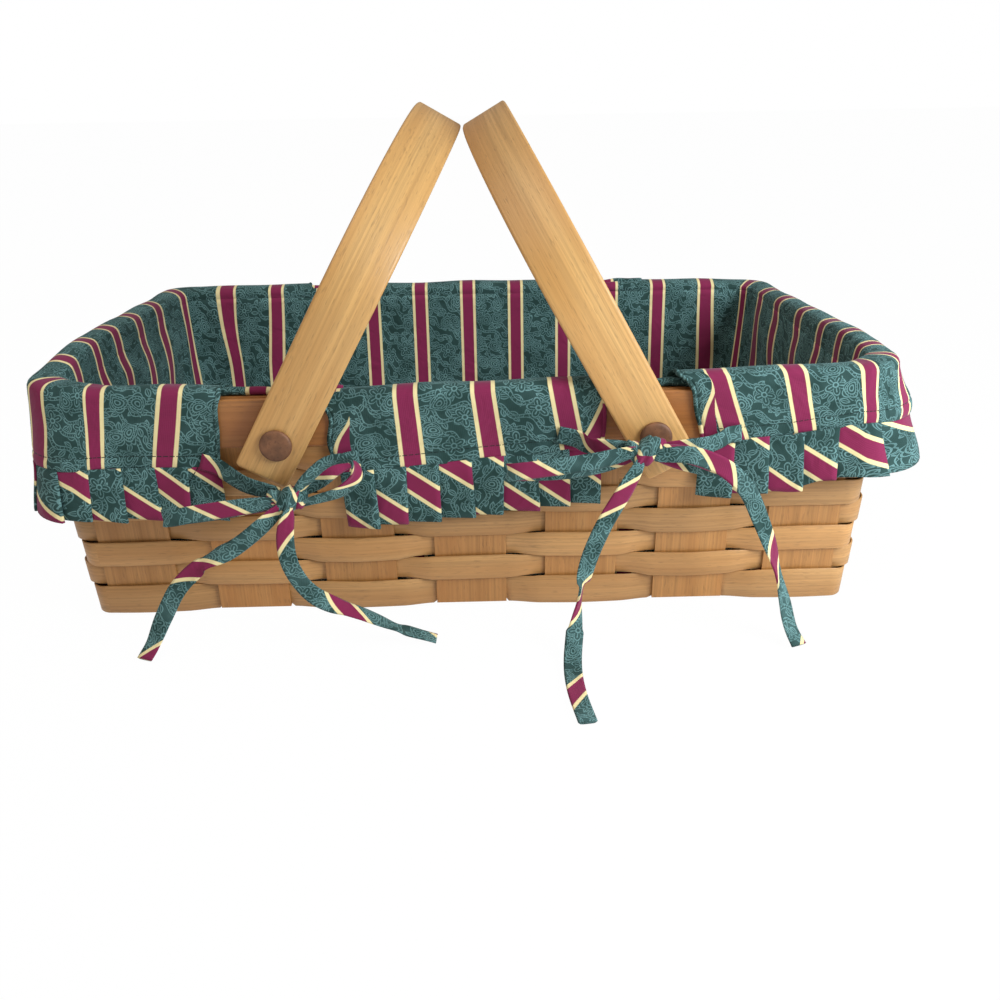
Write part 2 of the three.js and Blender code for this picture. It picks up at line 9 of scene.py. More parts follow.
import bpy
import numpy as np
from bpy.props import FloatProperty, FloatVectorProperty, PointerProperty
from bpy.types import Operator, Panel, PropertyGroup
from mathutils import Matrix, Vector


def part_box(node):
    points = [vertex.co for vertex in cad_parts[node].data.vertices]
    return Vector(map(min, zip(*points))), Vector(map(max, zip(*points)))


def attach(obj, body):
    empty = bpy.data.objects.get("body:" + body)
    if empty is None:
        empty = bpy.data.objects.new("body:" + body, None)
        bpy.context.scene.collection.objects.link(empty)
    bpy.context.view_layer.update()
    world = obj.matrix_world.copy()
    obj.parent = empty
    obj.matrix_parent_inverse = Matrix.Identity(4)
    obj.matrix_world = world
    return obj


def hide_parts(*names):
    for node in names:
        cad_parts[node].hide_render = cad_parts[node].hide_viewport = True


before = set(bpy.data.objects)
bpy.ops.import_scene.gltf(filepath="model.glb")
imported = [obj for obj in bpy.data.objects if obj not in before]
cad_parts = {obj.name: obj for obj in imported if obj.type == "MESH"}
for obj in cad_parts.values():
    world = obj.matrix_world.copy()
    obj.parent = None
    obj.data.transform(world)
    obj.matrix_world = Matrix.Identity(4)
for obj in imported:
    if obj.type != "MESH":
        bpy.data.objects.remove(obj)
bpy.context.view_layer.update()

bl_info = {
    "name": "Gathering basket",
    "version": (1, 0, 0),
    "blender": (4, 5, 0),
    "location": "View3D > Sidebar > Basket",
    "description": "Builds a woven splint basket with bentwood handles and a printed cotton liner",
    "category": "Add Mesh",
}

MM = 0.001
EDGE_ANGLE = math.radians(40)

# In millimetres of cloth: the hem's stitch above a flap's seam, and where other pieces are cut, off the hem
HEM = 7.0
RUFFLE_PRINT, FACING_PRINT, TIE_PRINT, KNOT_PRINT = -1000, -2000, -3000, -5000


def linear(hex_colour):
    """Turns an sRGB hex colour to linear red, green, blue and a full alpha."""
    channels = [int(hex_colour[i : i + 2], 16) / 255 for i in (1, 3, 5)]
    return [c / 12.92 if c <= 0.04045 else ((c + 0.055) / 1.055) ** 2.4 for c in channels] + [1.0]


def length(name, description, millimetres):
    """A setting for a length."""
    words = {"name": name, "description": description, "unit": "LENGTH", "subtype": "DISTANCE"}
    return FloatProperty(**words, default=millimetres * MM, min=0)


def colour(name, description, hex_colour):
    """A setting for a colour."""
    words = {"name": name, "description": description, "subtype": "COLOR"}
    return FloatVectorProperty(**words, default=linear(hex_colour), size=4, min=0, max=1)


def amount(name, description, default, **limits):
    """A setting for a plain number."""
    return FloatProperty(name=name, description=description, default=default, min=0, **limits)


class BasketSizes(PropertyGroup):
    """Sizes of the woven basket and its handles."""

    rim_length: length("Rim length", "Length over the rim bands", 457)
    rim_width: length("Rim width", "Width over the rim bands", 282)
    base_length: length("Base length", "Length over the weave at the table", 436)
    base_width: length("Base width", "Width over the weave at the table", 260)
    height: length("Height", "Height from the table to the wooden rim", 130)
    splint_width: length("Splint width", "Width of the uprights", 40)
    splint_thickness: length("Splint thickness", "Thickness of the uprights", 1.2)
    weaver_thickness: length("Weaver thickness", "Thickness of the bands woven round the walls", 1.2)
    weaver_swell: length("Weaver swell", "How far a weaver bows out over an upright", 0.7)
    rim_band_height: length("Rim band height", "Height of the two rim bands", 27)
    rim_band_thickness: length("Rim band thickness", "Thickness of each rim band", 3)
    handle_width: length("Handle width", "Width of the bentwood handles", 29)
    handle_thickness: length("Handle thickness", "Thickness of the bentwood handles", 6)
    handle_reach: length("Handle reach", "From the peg to the middle of the crown", 171)
    handle_tail: length("Handle tail", "From the peg to the lower end of a leg", 20)
    handle_bend: length("Handle bend", "Depth of the bend at each shoulder", 100)
    pivot_out: length("Pivot out", "From the middle of the basket to a peg, along the length", 98)
    pivot_up: length("Pivot height", "From the table to the pegs", 108)
    peg_head: length("Peg head", "Radius of a peg's head", 8.4)


class WoodColours(PropertyGroup):
    """Colours of the wooden pieces."""

    weaver: colour("Weavers", "Clear stained maple of the weavers", "#B78853")
    splint: colour("Splints", "Clear stained maple of the uprights", "#B57F45")
    # The rim's maple is set darker than the weavers': part of that is painted shade from the flaps that
    # overhang the rim bands
    rim: colour("Rim", "Clear stained maple of the rim bands", "#AC7038")
    handle: colour("Handles", "Lacquered maple of the handles", "#C79A5F")
    peg: colour("Pegs", "Dark stained turned wood of the pegs", "#71482D")


class LinerCloth(PropertyGroup):
    """Print and sizes of the cotton liner."""

    ground: colour("Ground", "Dark green ground of the print", "#213A37")
    scroll: colour("Scrollwork", "Lighter teal lines drawn on the ground", "#6C9090")
    stripe: colour("Stripe", "Burgundy of the stripes", "#7D2147")
    edging: colour("Stripe edging", "Cream that edges each stripe", "#E4D09B")
    thread: colour("Thread", "Sewing thread of the hem", "#182625")
    stripe_pitch: length("Stripe pitch", "From one stripe's middle to the next", 38)
    stripe_width: length("Stripe width", "Width of the burgundy", 8.2)
    edging_width: length("Edging width", "Width of the cream on each side", 2.0)
    scroll_size: length("Scroll size", "From one large leaf of the scrollwork to the next", 16)
    tie_width: length("Tie width", "Width of the folded ties", 9.5)
    tie_thickness: length("Tie thickness", "Thickness of the folded ties", 1.6)
    cloth_thickness: length("Cloth thickness", "Thickness of the cloth with its turned hems", 1.0)
    pleat_pitch: length("Pleat pitch", "From one knife pleat to the next", 17.5)


class StudioLight(PropertyGroup):
    """Floor and light of the plain studio."""

    floor: colour("Floor", "Pale floor", "#FAFAF8")
    floor_glow: amount("Floor glow", "Share of plain white in the floor as the camera sees it", 0.985, max=1)
    ambient: amount("Ambient", "Strength of the even light", 0.28)
    key_power: amount("Key power", "Power of the soft key light in watts", 7.8)
    fill_power: amount("Fill power", "Power of the soft fill light in watts", 9.0)


# Small helpers that the pieces share


def mm(metres):
    return metres / MM


def settings():
    return bpy.context.scene.basket_sizes


def cloth_settings():
    return bpy.context.scene.liner_cloth


def smooth_path(route, count):
    """Evenly spaced points on the centripetal Catmull-Rom curve through a route."""
    points = np.array(route, float)
    points = np.vstack([2 * points[0] - points[1], points, 2 * points[-1] - points[-2]])
    fine, steps = [], 24
    for corners in zip(points[:-3], points[1:-2], points[2:-1], points[3:]):
        gaps = [np.linalg.norm(q - p) for p, q in zip(corners, corners[1:])]
        knots = np.cumsum([0, *np.maximum(gaps, 1e-6) ** 0.5])
        t = np.linspace(knots[1], knots[2], steps, endpoint=False)[:, None]
        for pairs in (((0, 1), (1, 2), (2, 3)), ((0, 2), (1, 3)), ((1, 2),)):
            corners = [
                ((knots[j] - t) * p + (t - knots[i]) * q) / (knots[j] - knots[i])
                for (i, j), p, q in zip(pairs, corners, corners[1:])
            ]
        fine.append(corners[0])
    fine = np.vstack([*fine, points[-2]])
    run = run_length(fine)
    even = np.linspace(0, run[-1], count)
    return np.stack([np.interp(even, run, axis) for axis in fine.T], 1)


def run_length(points, closed=False):
    """Distance along a line of points, from its start."""
    if closed:
        points = np.vstack([points, points[:1]])
    return np.concatenate([[0], np.cumsum(np.linalg.norm(np.diff(points, axis=0), axis=1))])


def unit(vectors):
    return vectors / np.linalg.norm(vectors, axis=-1, keepdims=True)


def smooth_step(value, low, high):
    share = np.clip((value - low) / (high - low), 0, 1)
    return share * share * (3 - 2 * share)


def loft(grid, uv, wrap=False, caps=False):
    """Faces over a grid of points.

    With wrap, each row of the grid is a closed section, uv has one more column, and the faces look outward.
    """
    rows, columns = grid.shape[:2]
    faces, corners = [], []
    for i in range(rows - 1):
        for j in range(columns if wrap else columns - 1):
            k = (j + 1) % columns
            faces.append([i * columns + j, (i + 1) * columns + j, (i + 1) * columns + k, i * columns + k])
            corners.append([uv[i, j], uv[i + 1, j], uv[i + 1, j + 1], uv[i, j + 1]])
    if caps:
        last = (rows - 1) * columns
        faces += [list(range(columns)), [last + j for j in reversed(range(columns))]]
        corners += [list(uv[0, :columns]), list(uv[-1, :columns][::-1])]
    if wrap:
        normal = np.cross(np.diff(grid, axis=0), (np.roll(grid, -1, 1) - grid)[:-1])
        if (normal * (grid - grid.mean(1, keepdims=True))[:-1]).sum() < 0:
            faces, corners = ([loop[::-1] for loop in loops] for loops in (faces, corners))
    return grid.reshape(-1, 3), faces, np.vstack(corners)


def make_piece(name, parts, material, slot, body, *nodes):
    """Joins lofted parts in one smooth mesh that rides on a body and stands for CAD nodes."""
    points, faces, corners = [], [], []
    count = 0
    for part_points, part_faces, part_corners in parts:
        points.append(part_points)
        faces += [[count + v for v in face] for face in part_faces]
        corners.append(part_corners)
        count += len(part_points)
    mesh = bpy.data.meshes.new(name)
    mesh.from_pydata((np.vstack(points) * MM).tolist(), [], faces)
    layer = mesh.uv_layers.new(name="cloth_or_grain_mm")
    layer.data.foreach_set("uv", np.vstack(corners).astype(np.float32).ravel())
    mesh.polygons.foreach_set("use_smooth", [True] * len(mesh.polygons))
    mesh.materials.append(material)
    piece = bpy.data.objects.new(name, mesh)
    bpy.context.scene.collection.objects.link(piece)
    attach(piece, body)
    if nodes:
        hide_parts(*nodes)
    return piece


def weld(piece):
    """Makes one skin of points that lie on each other."""
    piece.modifiers.new("one skin", "WELD").merge_threshold = 1e-6
    return piece


def thicken(piece, thickness):
    """Gives a single sheet its cloth thickness, half on each side."""
    shell = piece.modifiers.new("cloth thickness", "SOLIDIFY")
    shell.thickness = thickness * MM
    shell.offset = 0
    return piece


def finish_node(name, material, bevel=0.0):
    """Gives a CAD node its finish and eased edges."""
    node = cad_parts[name]
    node.data.materials.clear()
    node.data.materials.append(material)
    if bevel:
        ease = weld(node).modifiers.new("eased edges", "BEVEL")
        ease.width = bevel * MM
        ease.segments = 2
        ease.limit_method = "ANGLE"
        ease.angle_limit = EDGE_ANGLE
    return node


def tube(line, uv_line, radius, sides=8):
    """A round cord of cloth along a line, for a bound edge."""
    tangent = unit(np.gradient(line, axis=0))
    guide = np.where(np.abs(tangent[:, 2:3]) > 0.8, [[1.0, 0.0, 0.0]], [[0.0, 0.0, 1.0]])
    side = unit(np.cross(tangent, guide))
    up = np.cross(side, tangent)
    angle = np.linspace(0, 2 * math.pi, sides, endpoint=False)
    ring = np.cos(angle)[None, :, None] * side[:, None] + np.sin(angle)[None, :, None] * up[:, None]
    grid = line[:, None] + radius * ring
    around = np.linspace(0, 2 * math.pi * radius, sides + 1)
    uv = np.stack([np.repeat(uv_line[:, :1], sides + 1, 1), uv_line[:, 1:2] + around[None]], -1)
    return loft(grid, uv, wrap=True, caps=True)


class Wall:
    """The basket's wall, halfway through its splints.

    A place is a distance round the rim from the front's left end. The radii are the corners' at base and rim,
    and slack is the room between a splint and what lies on it.
    """

    radii, slack = (9.0, 17.0), 0.3

    def __init__(self):
        s = settings()
        self.height = mm(s.height)
        self.splint_face = mm(s.splint_thickness) / 2 + self.slack
        weave_face = self.splint_face + mm(s.weaver_thickness)
        band_face = self.splint_face + mm(s.rim_band_thickness)
        self.base_half = (mm(s.base_length) / 2 - weave_face, mm(s.base_width) / 2 - weave_face)
        self.rim_half = (mm(s.rim_length) / 2 - band_face, mm(s.rim_width) / 2 - band_face)
        self.straight = np.array(self.rim_half) - self.radii[1]
        turn = self.radii[1] * math.pi / 2
        self.spans = np.array([2 * self.straight[0], turn, 2 * self.straight[1], turn] * 2)
        self.starts = np.concatenate([[0], np.cumsum(self.spans)])
        self.round = self.starts[-1]

    def on_side(self, side, along):
        """The place at a distance along side 0 to 3 from its middle: front, right, back, left."""
        return self.starts[2 * side] + self.straight[side % 2] + along

    def front(self, x):
        return self.on_side(0, x)

    def back(self, x):
        return self.on_side(2, -x)

    def marks(self, **sides):
        """Places with their values, given by distances along each side. Those of the back run as x does."""
        return [
            (self.on_side(side, -along if name == "back" else along), value)
            for side, name in enumerate(("front", "right", "back", "left"))
            for along, value in sides.get(name, {}).items()
        ]

    def lay(self, place, z, offset, least=2.0):
        """Points at places round the wall, at a height and an offset outward, and the places as cut in cloth.

        Least is the smallest radius that a corner may have.
        """
        given = [np.asarray(value, float) for value in (place, z, offset, least)]
        place, z, offset, least = np.broadcast_arrays(*given)
        share = z / self.height
        half_length, half_width = (b + (r - b) * share for b, r in zip(self.base_half, self.rim_half))
        radius = np.maximum(self.radii[0] + (self.radii[1] - self.radii[0]) * share + offset, least)
        turns = np.floor(place / self.round)
        where = place - turns * self.round
        part = np.clip(np.searchsorted(self.starts, where, side="right") - 1, 0, 7)
        local = (where - self.starts[part]) / self.spans[part]
        side = part // 2
        is_long = side % 2 == 0
        reach = np.where(is_long, half_width, half_length) + offset
        straight = np.where(is_long, half_length, half_width) + offset - radius
        straight_next = np.where(is_long, half_width, half_length) + offset - radius
        in_corner = part % 2 == 1
        angle = np.where(in_corner, local * math.pi / 2, 0)
        along = np.where(in_corner, straight + radius * np.sin(angle), (2 * local - 1) * straight)
        out = reach - radius + radius * np.cos(angle)
        quarter = side * math.pi / 2
        x = along * np.cos(quarter) + out * np.sin(quarter)
        y = along * np.sin(quarter) - out * np.cos(quarter)
        nominal = self.starts[2 * side] + self.straight[side % 2]
        after = self.starts[2 * side + 2] + self.straight[(side + 1) % 2] - straight_next
        cut = np.where(in_corner, (nominal + straight) * (1 - local) + after * local, nominal + along)
        return np.stack([x, y, z], -1), cut + turns * self.round

    def by_place(self, place, marks):
        """A value that runs straight from mark to mark round the rim."""
        at, value = np.array(sorted(marks)).T
        at = np.concatenate([at[-1:] - self.round, at, at[:1] + self.round])
        value = np.concatenate([value[-1:], value, value[:1]])
        return np.interp(np.mod(place, self.round), at, value)

    def corner_share(self, place, reach):
        """1 at a corner of the wall, fading to 0 at a distance from it."""
        middles = (self.starts[1:8:2] + self.starts[2:9:2]) / 2
        gap = np.abs(np.mod(place[..., None] - middles + self.round / 2, self.round) - self.round / 2).min(-1)
        return 1 - smooth_step(gap, 0, reach)


# Materials


def new_material(name):
    material = bpy.data.materials.new(name)
    material.use_nodes = True
    material.node_tree.nodes.clear()
    return material


# The setting that a word after a node's kind stands for
CHOICES = {
    "Math": "operation",
    "VectorMath": "operation",
    "Mix": "data_type",
    "TexNoise": "noise_dimensions",
    "TexVoronoi": "voronoi_dimensions",
}
# The sockets of a Mix: its share, then two numbers or two colours
SHARE, FIRST, SECOND, UNDER, OVER = 0, 2, 3, 6, 7


def add(owner, kind, inputs=(), **values):
    """Adds a shader node. A kind may carry its main choice, as in "Math ADD".

    An input is a number, a colour, an output, or a node whose first live output feeds it.
    """
    tree = owner.node_tree
    kind, *choice = kind.split()
    node = tree.nodes.new("ShaderNode" + kind)
    if choice:
        setattr(node, CHOICES[kind], choice[0])
    for name, value in values.items():
        setattr(node, name, value)
    for key, value in (inputs if isinstance(inputs, dict) else dict(enumerate(inputs))).items():
        if isinstance(value, bpy.types.Node):
            value = next(output for output in value.outputs if output.enabled)
        if isinstance(value, bpy.types.NodeSocket):
            tree.links.new(value, node.inputs[key])
        else:
            node.inputs[key].default_value = value
    return node


def shade(rgba, factor):
    """A colour made lighter or darker."""
    return [min(channel * factor, 1.0) for channel in rgba[:3]] + [1.0]


def maple(name, tone, source, along, per_mm, gloss):
    """Sliced or bent maple under a clear stain: fine straight fibres, short dark flecks and a soft sheen.

    The source is the texture coordinate, of which per_mm is a millimetre, and along lists the grain's axes.
    Pores in maple are finer than 0.1 mm, and are drawn 0.6 mm wide so that they show.
    """
    m = new_material(name)
    chance = add(m, "ObjectInfo").outputs["Random"]
    place = add(m, "VectorMath ADD", [add(m, "TexCoord").outputs[source], chance])

    def streaks(width, length_mm, detail):
        """Noise drawn out along the grain."""
        scale = [per_mm / (length_mm if axis in along else width) for axis in range(3)]
        way = add(m, "Mapping", {"Vector": place, "Scale": scale})
        return add(m, "TexNoise", {"Vector": way, "Scale": 1.0, "Detail": detail, "Roughness": 0.6})

    fibre, cloud, fleck = streaks(1.3, 110, 3.0), streaks(13, 150, 1.5), streaks(0.75, 5.5, 0.5)
    fine = add(m, "MapRange", [fibre, 0.34, 0.68])
    wood = add(m, "Mix RGBA", {SHARE: fine, UNDER: shade(tone, 1.14), OVER: shade(tone, 0.8)})
    broad = add(m, "MapRange", [cloud, 0.34, 0.66, 0.0, 0.6])
    deep = [tone[0] * 0.84, tone[1] * 0.7, tone[2] * 0.52, 1.0]
    clouded = add(m, "Mix RGBA", {SHARE: broad, UNDER: wood, OVER: deep})
    pores = add(m, "MapRange", [fleck, 0.62, 0.76, 0.0, 0.34])
    flecked = add(m, "Mix RGBA", {SHARE: pores, UNDER: clouded, OVER: shade(tone, 0.4)})
    lot = add(m, "MapRange", [chance, 0.0, 1.0, 0.88, 1.1])
    toned = add(m, "HueSaturation", {"Value": lot, "Color": flecked})
    dull = add(m, "MapRange", [fibre, 0.0, 1.0, gloss - 0.08, gloss + 0.12])
    relief = add(m, "Math SUBTRACT", [fibre, pores])
    bump = add(m, "Bump", {"Strength": 0.4, "Distance": 0.0003, "Height": relief})
    look = {"Base Color": toned, "Roughness": dull, "IOR": 1.5, "Normal": bump}
    skin = add(m, "BsdfPrincipled", {**look, "Coat Weight": 0.1, "Coat Roughness": 0.4})
    add(m, "OutputMaterial", [skin])
    return m


def turned_wood(name, tone):
    """Dark stained turned hardwood: mottled end grain, worn a little paler, with a dull sheen."""
    m = new_material(name)
    place = add(m, "TexCoord").outputs["Object"]
    pores = add(m, "TexNoise", {"Vector": place, "Scale": 900.0, "Detail": 4.0})
    patches = add(m, "TexNoise", {"Vector": place, "Scale": 170.0, "Detail": 2.0})
    worn = add(m, "MapRange", [patches, 0.38, 0.66])
    body = add(m, "Mix RGBA", {SHARE: worn, UNDER: shade(tone, 0.75), OVER: shade(tone, 1.25)})
    pits = add(m, "MapRange", [pores, 0.56, 0.72, 0.0, 0.6])
    pitted = add(m, "Mix RGBA", {SHARE: pits, UNDER: body, OVER: shade(tone, 0.42)})
    bump = add(m, "Bump", {"Strength": 0.3, "Distance": 0.0003, "Height": pores})
    skin = add(m, "BsdfPrincipled", {"Base Color": pitted, "Roughness": 0.58, "IOR": 1.5, "Normal": bump})
    add(m, "OutputMaterial", [skin])
    return m


def scrollwork(m, place, u, v, motif):
    """Where the print's light lines are: leaves and flowers a motif apart, and beaded vines between them."""

    def scatter(size, jitter):
        """Cells strewn over the cloth: each one's own axes in mm, turned by chance, and its chance."""
        cell = add(m, "TexVoronoi 2D", {"Vector": place, "Scale": 1 / size, "Randomness": jitter})
        chance = add(m, "SeparateColor", [cell.outputs["Color"]])
        local = add(m, "VectorMath SUBTRACT", [place, cell.outputs["Position"]])
        angle = add(m, "Math MULTIPLY", [chance, 2 * math.pi])
        turned = add(m, "VectorRotate", {"Vector": local, "Angle": angle}, rotation_type="Z_AXIS")
        return *add(m, "SeparateXYZ", [turned]).outputs[:2], chance.outputs[1]

    # Bent leaves with a scalloped edge and a ladder border, drawn in parts of the motif
    unit_mm, scallops, petal_count = motif / 2.5, 7, 5
    x, y, chance = scatter(motif, 0.8)
    square = add(m, "Math MULTIPLY", [y, y])
    bent = add(m, "Math MULTIPLY_ADD", [square, -0.42 / unit_mm, x])
    taper = add(m, "Math MULTIPLY_ADD", [y, -0.36, 0.66 * unit_mm])
    taper = add(m, "Math MAXIMUM", [taper, 0.16 * unit_mm])
    even_x = add(m, "Math DIVIDE", [bent, taper])
    even_y = add(m, "Math DIVIDE", [y, unit_mm])
    ring = add(m, "VectorMath LENGTH", [add(m, "CombineXYZ", [even_x, even_y])])
    bearing = add(m, "Math ARCTAN2", [even_x, even_y])
    petal = add(m, "Math SINE", [add(m, "Math MULTIPLY", [bearing, scallops / 2])])
    petal = add(m, "Math ABSOLUTE", [petal])
    leaf_edge = add(m, "Math MULTIPLY_ADD", [petal, -0.22, ring])
    leaf_edge = add(m, "Math SUBTRACT", [leaf_edge, 0.84])
    rungs = add(m, "Math FRACT", [add(m, "Math MULTIPLY", [bearing, 2.55])])
    rungs = add(m, "Math COMPARE", [rungs, 0.5, 0.1])
    border = add(m, "Math COMPARE", [ring, 0.63, 0.1])
    leaf_lines = add(m, "Math MULTIPLY", [rungs, border])
    for at, half in ((0.74, 0.05), (0.5, 0.05), (0.24, 0.065)):
        line = add(m, "Math COMPARE", [ring, at, half])
        leaf_lines = add(m, "Math MAXIMUM", [leaf_lines, line])

    # Five-petalled flowers in the other half of the places
    away = add(m, "VectorMath LENGTH", [add(m, "CombineXYZ", [x, y])])
    away = add(m, "Math DIVIDE", [away, unit_mm])
    around = add(m, "Math ARCTAN2", [x, y])
    petals = add(m, "Math COSINE", [add(m, "Math MULTIPLY", [around, petal_count / 2])])
    petals = add(m, "Math ABSOLUTE", [petals])
    flower_edge = add(m, "Math MULTIPLY_ADD", [petals, -0.55, away])
    flower_edge = add(m, "Math SUBTRACT", [flower_edge, 0.34])
    flower_lines = add(m, "Math COMPARE", [away, 0.2, 0.06])
    veins = add(m, "Math GREATER_THAN", [petals, 0.97])
    veins = add(m, "Math MULTIPLY", [veins, add(m, "Math COMPARE", [away, 0.45, 0.2])])
    flower_lines = add(m, "Math MAXIMUM", [flower_lines, veins])
    pick = add(m, "Math GREATER_THAN", [chance, 0.5])
    edge = add(m, "Mix", {SHARE: pick, FIRST: leaf_edge, SECOND: flower_edge})
    lines = add(m, "Mix", {SHARE: pick, FIRST: leaf_lines, SECOND: flower_lines})
    lines = add(m, "Math MULTIPLY", [lines, add(m, "Math LESS_THAN", [edge, 0.0])])
    lines = add(m, "Math MAXIMUM", [lines, add(m, "Math COMPARE", [edge, 0.0, 0.06])])

    # Beaded vines wander between them, with small ribbed leaves beside
    bead, half_vine, vine_gap = 2.0, 1.25, 4.7
    drift = add(m, "TexNoise 2D", {"Vector": place, "Scale": 1 / motif, "Detail": 0.5})
    sloped = add(m, "Math MULTIPLY_ADD", [u, 0.6, add(m, "Math MULTIPLY_ADD", [drift, 7.0, v])])
    wave = add(m, "Math MULTIPLY_ADD", [v, -0.6, u])
    wave = add(m, "Math SINE", [add(m, "Math MULTIPLY", [wave, 0.34])])
    vine = add(m, "Math PINGPONG", [add(m, "Math MULTIPLY_ADD", [wave, 2.3, sloped]), vine_gap])
    net = add(m, "TexVoronoi 2D", {"Vector": place, "Scale": 1 / bead}, feature="DISTANCE_TO_EDGE")
    beads = add(m, "Math LESS_THAN", [net, 0.075])
    beads = add(m, "Math MULTIPLY", [beads, add(m, "Math LESS_THAN", [vine, half_vine])])
    filler = add(m, "Math MAXIMUM", [beads, add(m, "Math COMPARE", [vine, half_vine, 0.33])])
    x, y, _ = scatter(motif * 0.36, 0.95)
    half_long, half_wide = 2.9, 1.45
    long_share = add(m, "Math POWER", [add(m, "Math DIVIDE", [y, half_long]), 2.0])
    wide = add(m, "Math MULTIPLY_ADD", [add(m, "Math ABSOLUTE", [x]), 1 / half_wide, long_share])
    sprig = add(m, "Math COMPARE", [wide, 0.85, 0.21])
    rib = add(m, "Math COMPARE", [x, 0.0, 0.2])
    rib = add(m, "Math MULTIPLY", [rib, add(m, "Math LESS_THAN", [wide, 0.7])])
    sprig = add(m, "Math MAXIMUM", [sprig, rib])
    beside = add(m, "Math GREATER_THAN", [vine, 1.9])
    filler = add(m, "Math MAXIMUM", [filler, add(m, "Math MULTIPLY", [sprig, beside])])
    outside = add(m, "Math GREATER_THAN", [edge, 0.14])
    return add(m, "Math MAXIMUM", [lines, add(m, "Math MULTIPLY", [filler, outside])])


def printed_cotton(name, wear):
    """Printed plain-weave cotton: edged stripes over a dark ground with tone on tone scrollwork.

    The mesh's uv is in millimetres of cloth, and the stripes lie across u. The threads of such cotton are
    about 0.4 mm apart, and are drawn at 0.9 mm so that they show.
    """
    m = new_material(name)
    c = cloth_settings()
    sizes = (c.stripe_pitch, c.stripe_width, c.edging_width, c.scroll_size)
    pitch, stripe, edging, motif = (mm(size) for size in sizes)
    half_stitch, half_thread, bleed, patch_size, crease_size = 1.5, 0.45, 0.15, 15, 24
    place = add(m, "TexCoord").outputs["UV"]
    u, v = add(m, "SeparateXYZ", [place]).outputs[:2]
    scroll = scrollwork(m, place, u, v, motif)

    # The colours lie one over the other, as they were printed
    uneven = add(m, "TexNoise 2D", {"Vector": place, "Scale": 1 / patch_size, "Detail": 2.0})
    ink = add(m, "MapRange", [uneven, 0.3, 0.7, 0.42, 0.86])
    ink = add(m, "Math MULTIPLY", [scroll, ink])
    faded = add(m, "MapRange", [uneven, 0.35, 0.75, 0.0, wear])
    colours = add(m, "Mix RGBA", {SHARE: faded, UNDER: list(c.ground), OVER: list(c.scroll)})
    colours = add(m, "Mix RGBA", {SHARE: ink, UNDER: colours, OVER: list(c.scroll)})
    off = add(m, "Math PINGPONG", [u, pitch / 2])
    for reach, dye in ((stripe / 2 + edging, c.edging), (stripe / 2, c.stripe)):
        band = add(m, "MapRange", [off, reach - bleed, reach + bleed, 1.0, 0.0])
        colours = add(m, "Mix RGBA", {SHARE: band, UNDER: colours, OVER: list(dye)})
    hem = add(m, "Math COMPARE", [v, HEM, 0.24])
    gap = add(m, "Math GREATER_THAN", [add(m, "Math PINGPONG", [u, half_stitch]), 0.35])
    stitch = add(m, "Math MULTIPLY", [hem, gap])
    colours = add(m, "Mix RGBA", {SHARE: stitch, UNDER: colours, OVER: list(c.thread)})
    warp, weft = (add(m, "Math PINGPONG", [axis, half_thread]) for axis in (u, v))
    threads = add(m, "Math ADD", [warp, weft])
    creased = {"Vector": place, "Scale": 1 / crease_size, "Detail": 3.0, "Distortion": 0.5}
    crumple = add(m, "TexNoise 2D", creased)
    weave = add(m, "Bump", {"Strength": 0.25, "Distance": 0.0004, "Height": threads})
    bump = add(m, "Bump", {"Strength": 0.55, "Distance": 0.004, "Height": crumple, "Normal": weave})
    look = {"Base Color": colours, "Roughness": 0.88, "IOR": 1.45, "Specular IOR Level": 0.25, "Normal": bump}
    nap = {"Sheen Weight": 0.16, "Sheen Roughness": 0.5, "Sheen Tint": linear("#9FC4C6")}
    add(m, "OutputMaterial", [add(m, "BsdfPrincipled", {**look, **nap})])
    return m


# Wooden pieces


class BASKET_OT_splints(Operator):
    """Finish the uprights that run under the base and up the walls"""

    bl_idname = "basket.splints"
    bl_label = "Splints"

    def execute(self, context):
        tone = list(context.scene.wood_colours.splint)
        for prefix, along in (("cross_splint_", (1, 2)), ("long_splint_", (0, 2))):
            wood = maple(f"maple {prefix[:-1].replace('_', ' ')}", tone, "Object", along, 1 / MM, 0.5)
            for name in sorted(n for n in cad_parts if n.startswith(prefix)):
                finish_node(name, wood, 0.25)
        return {"FINISHED"}


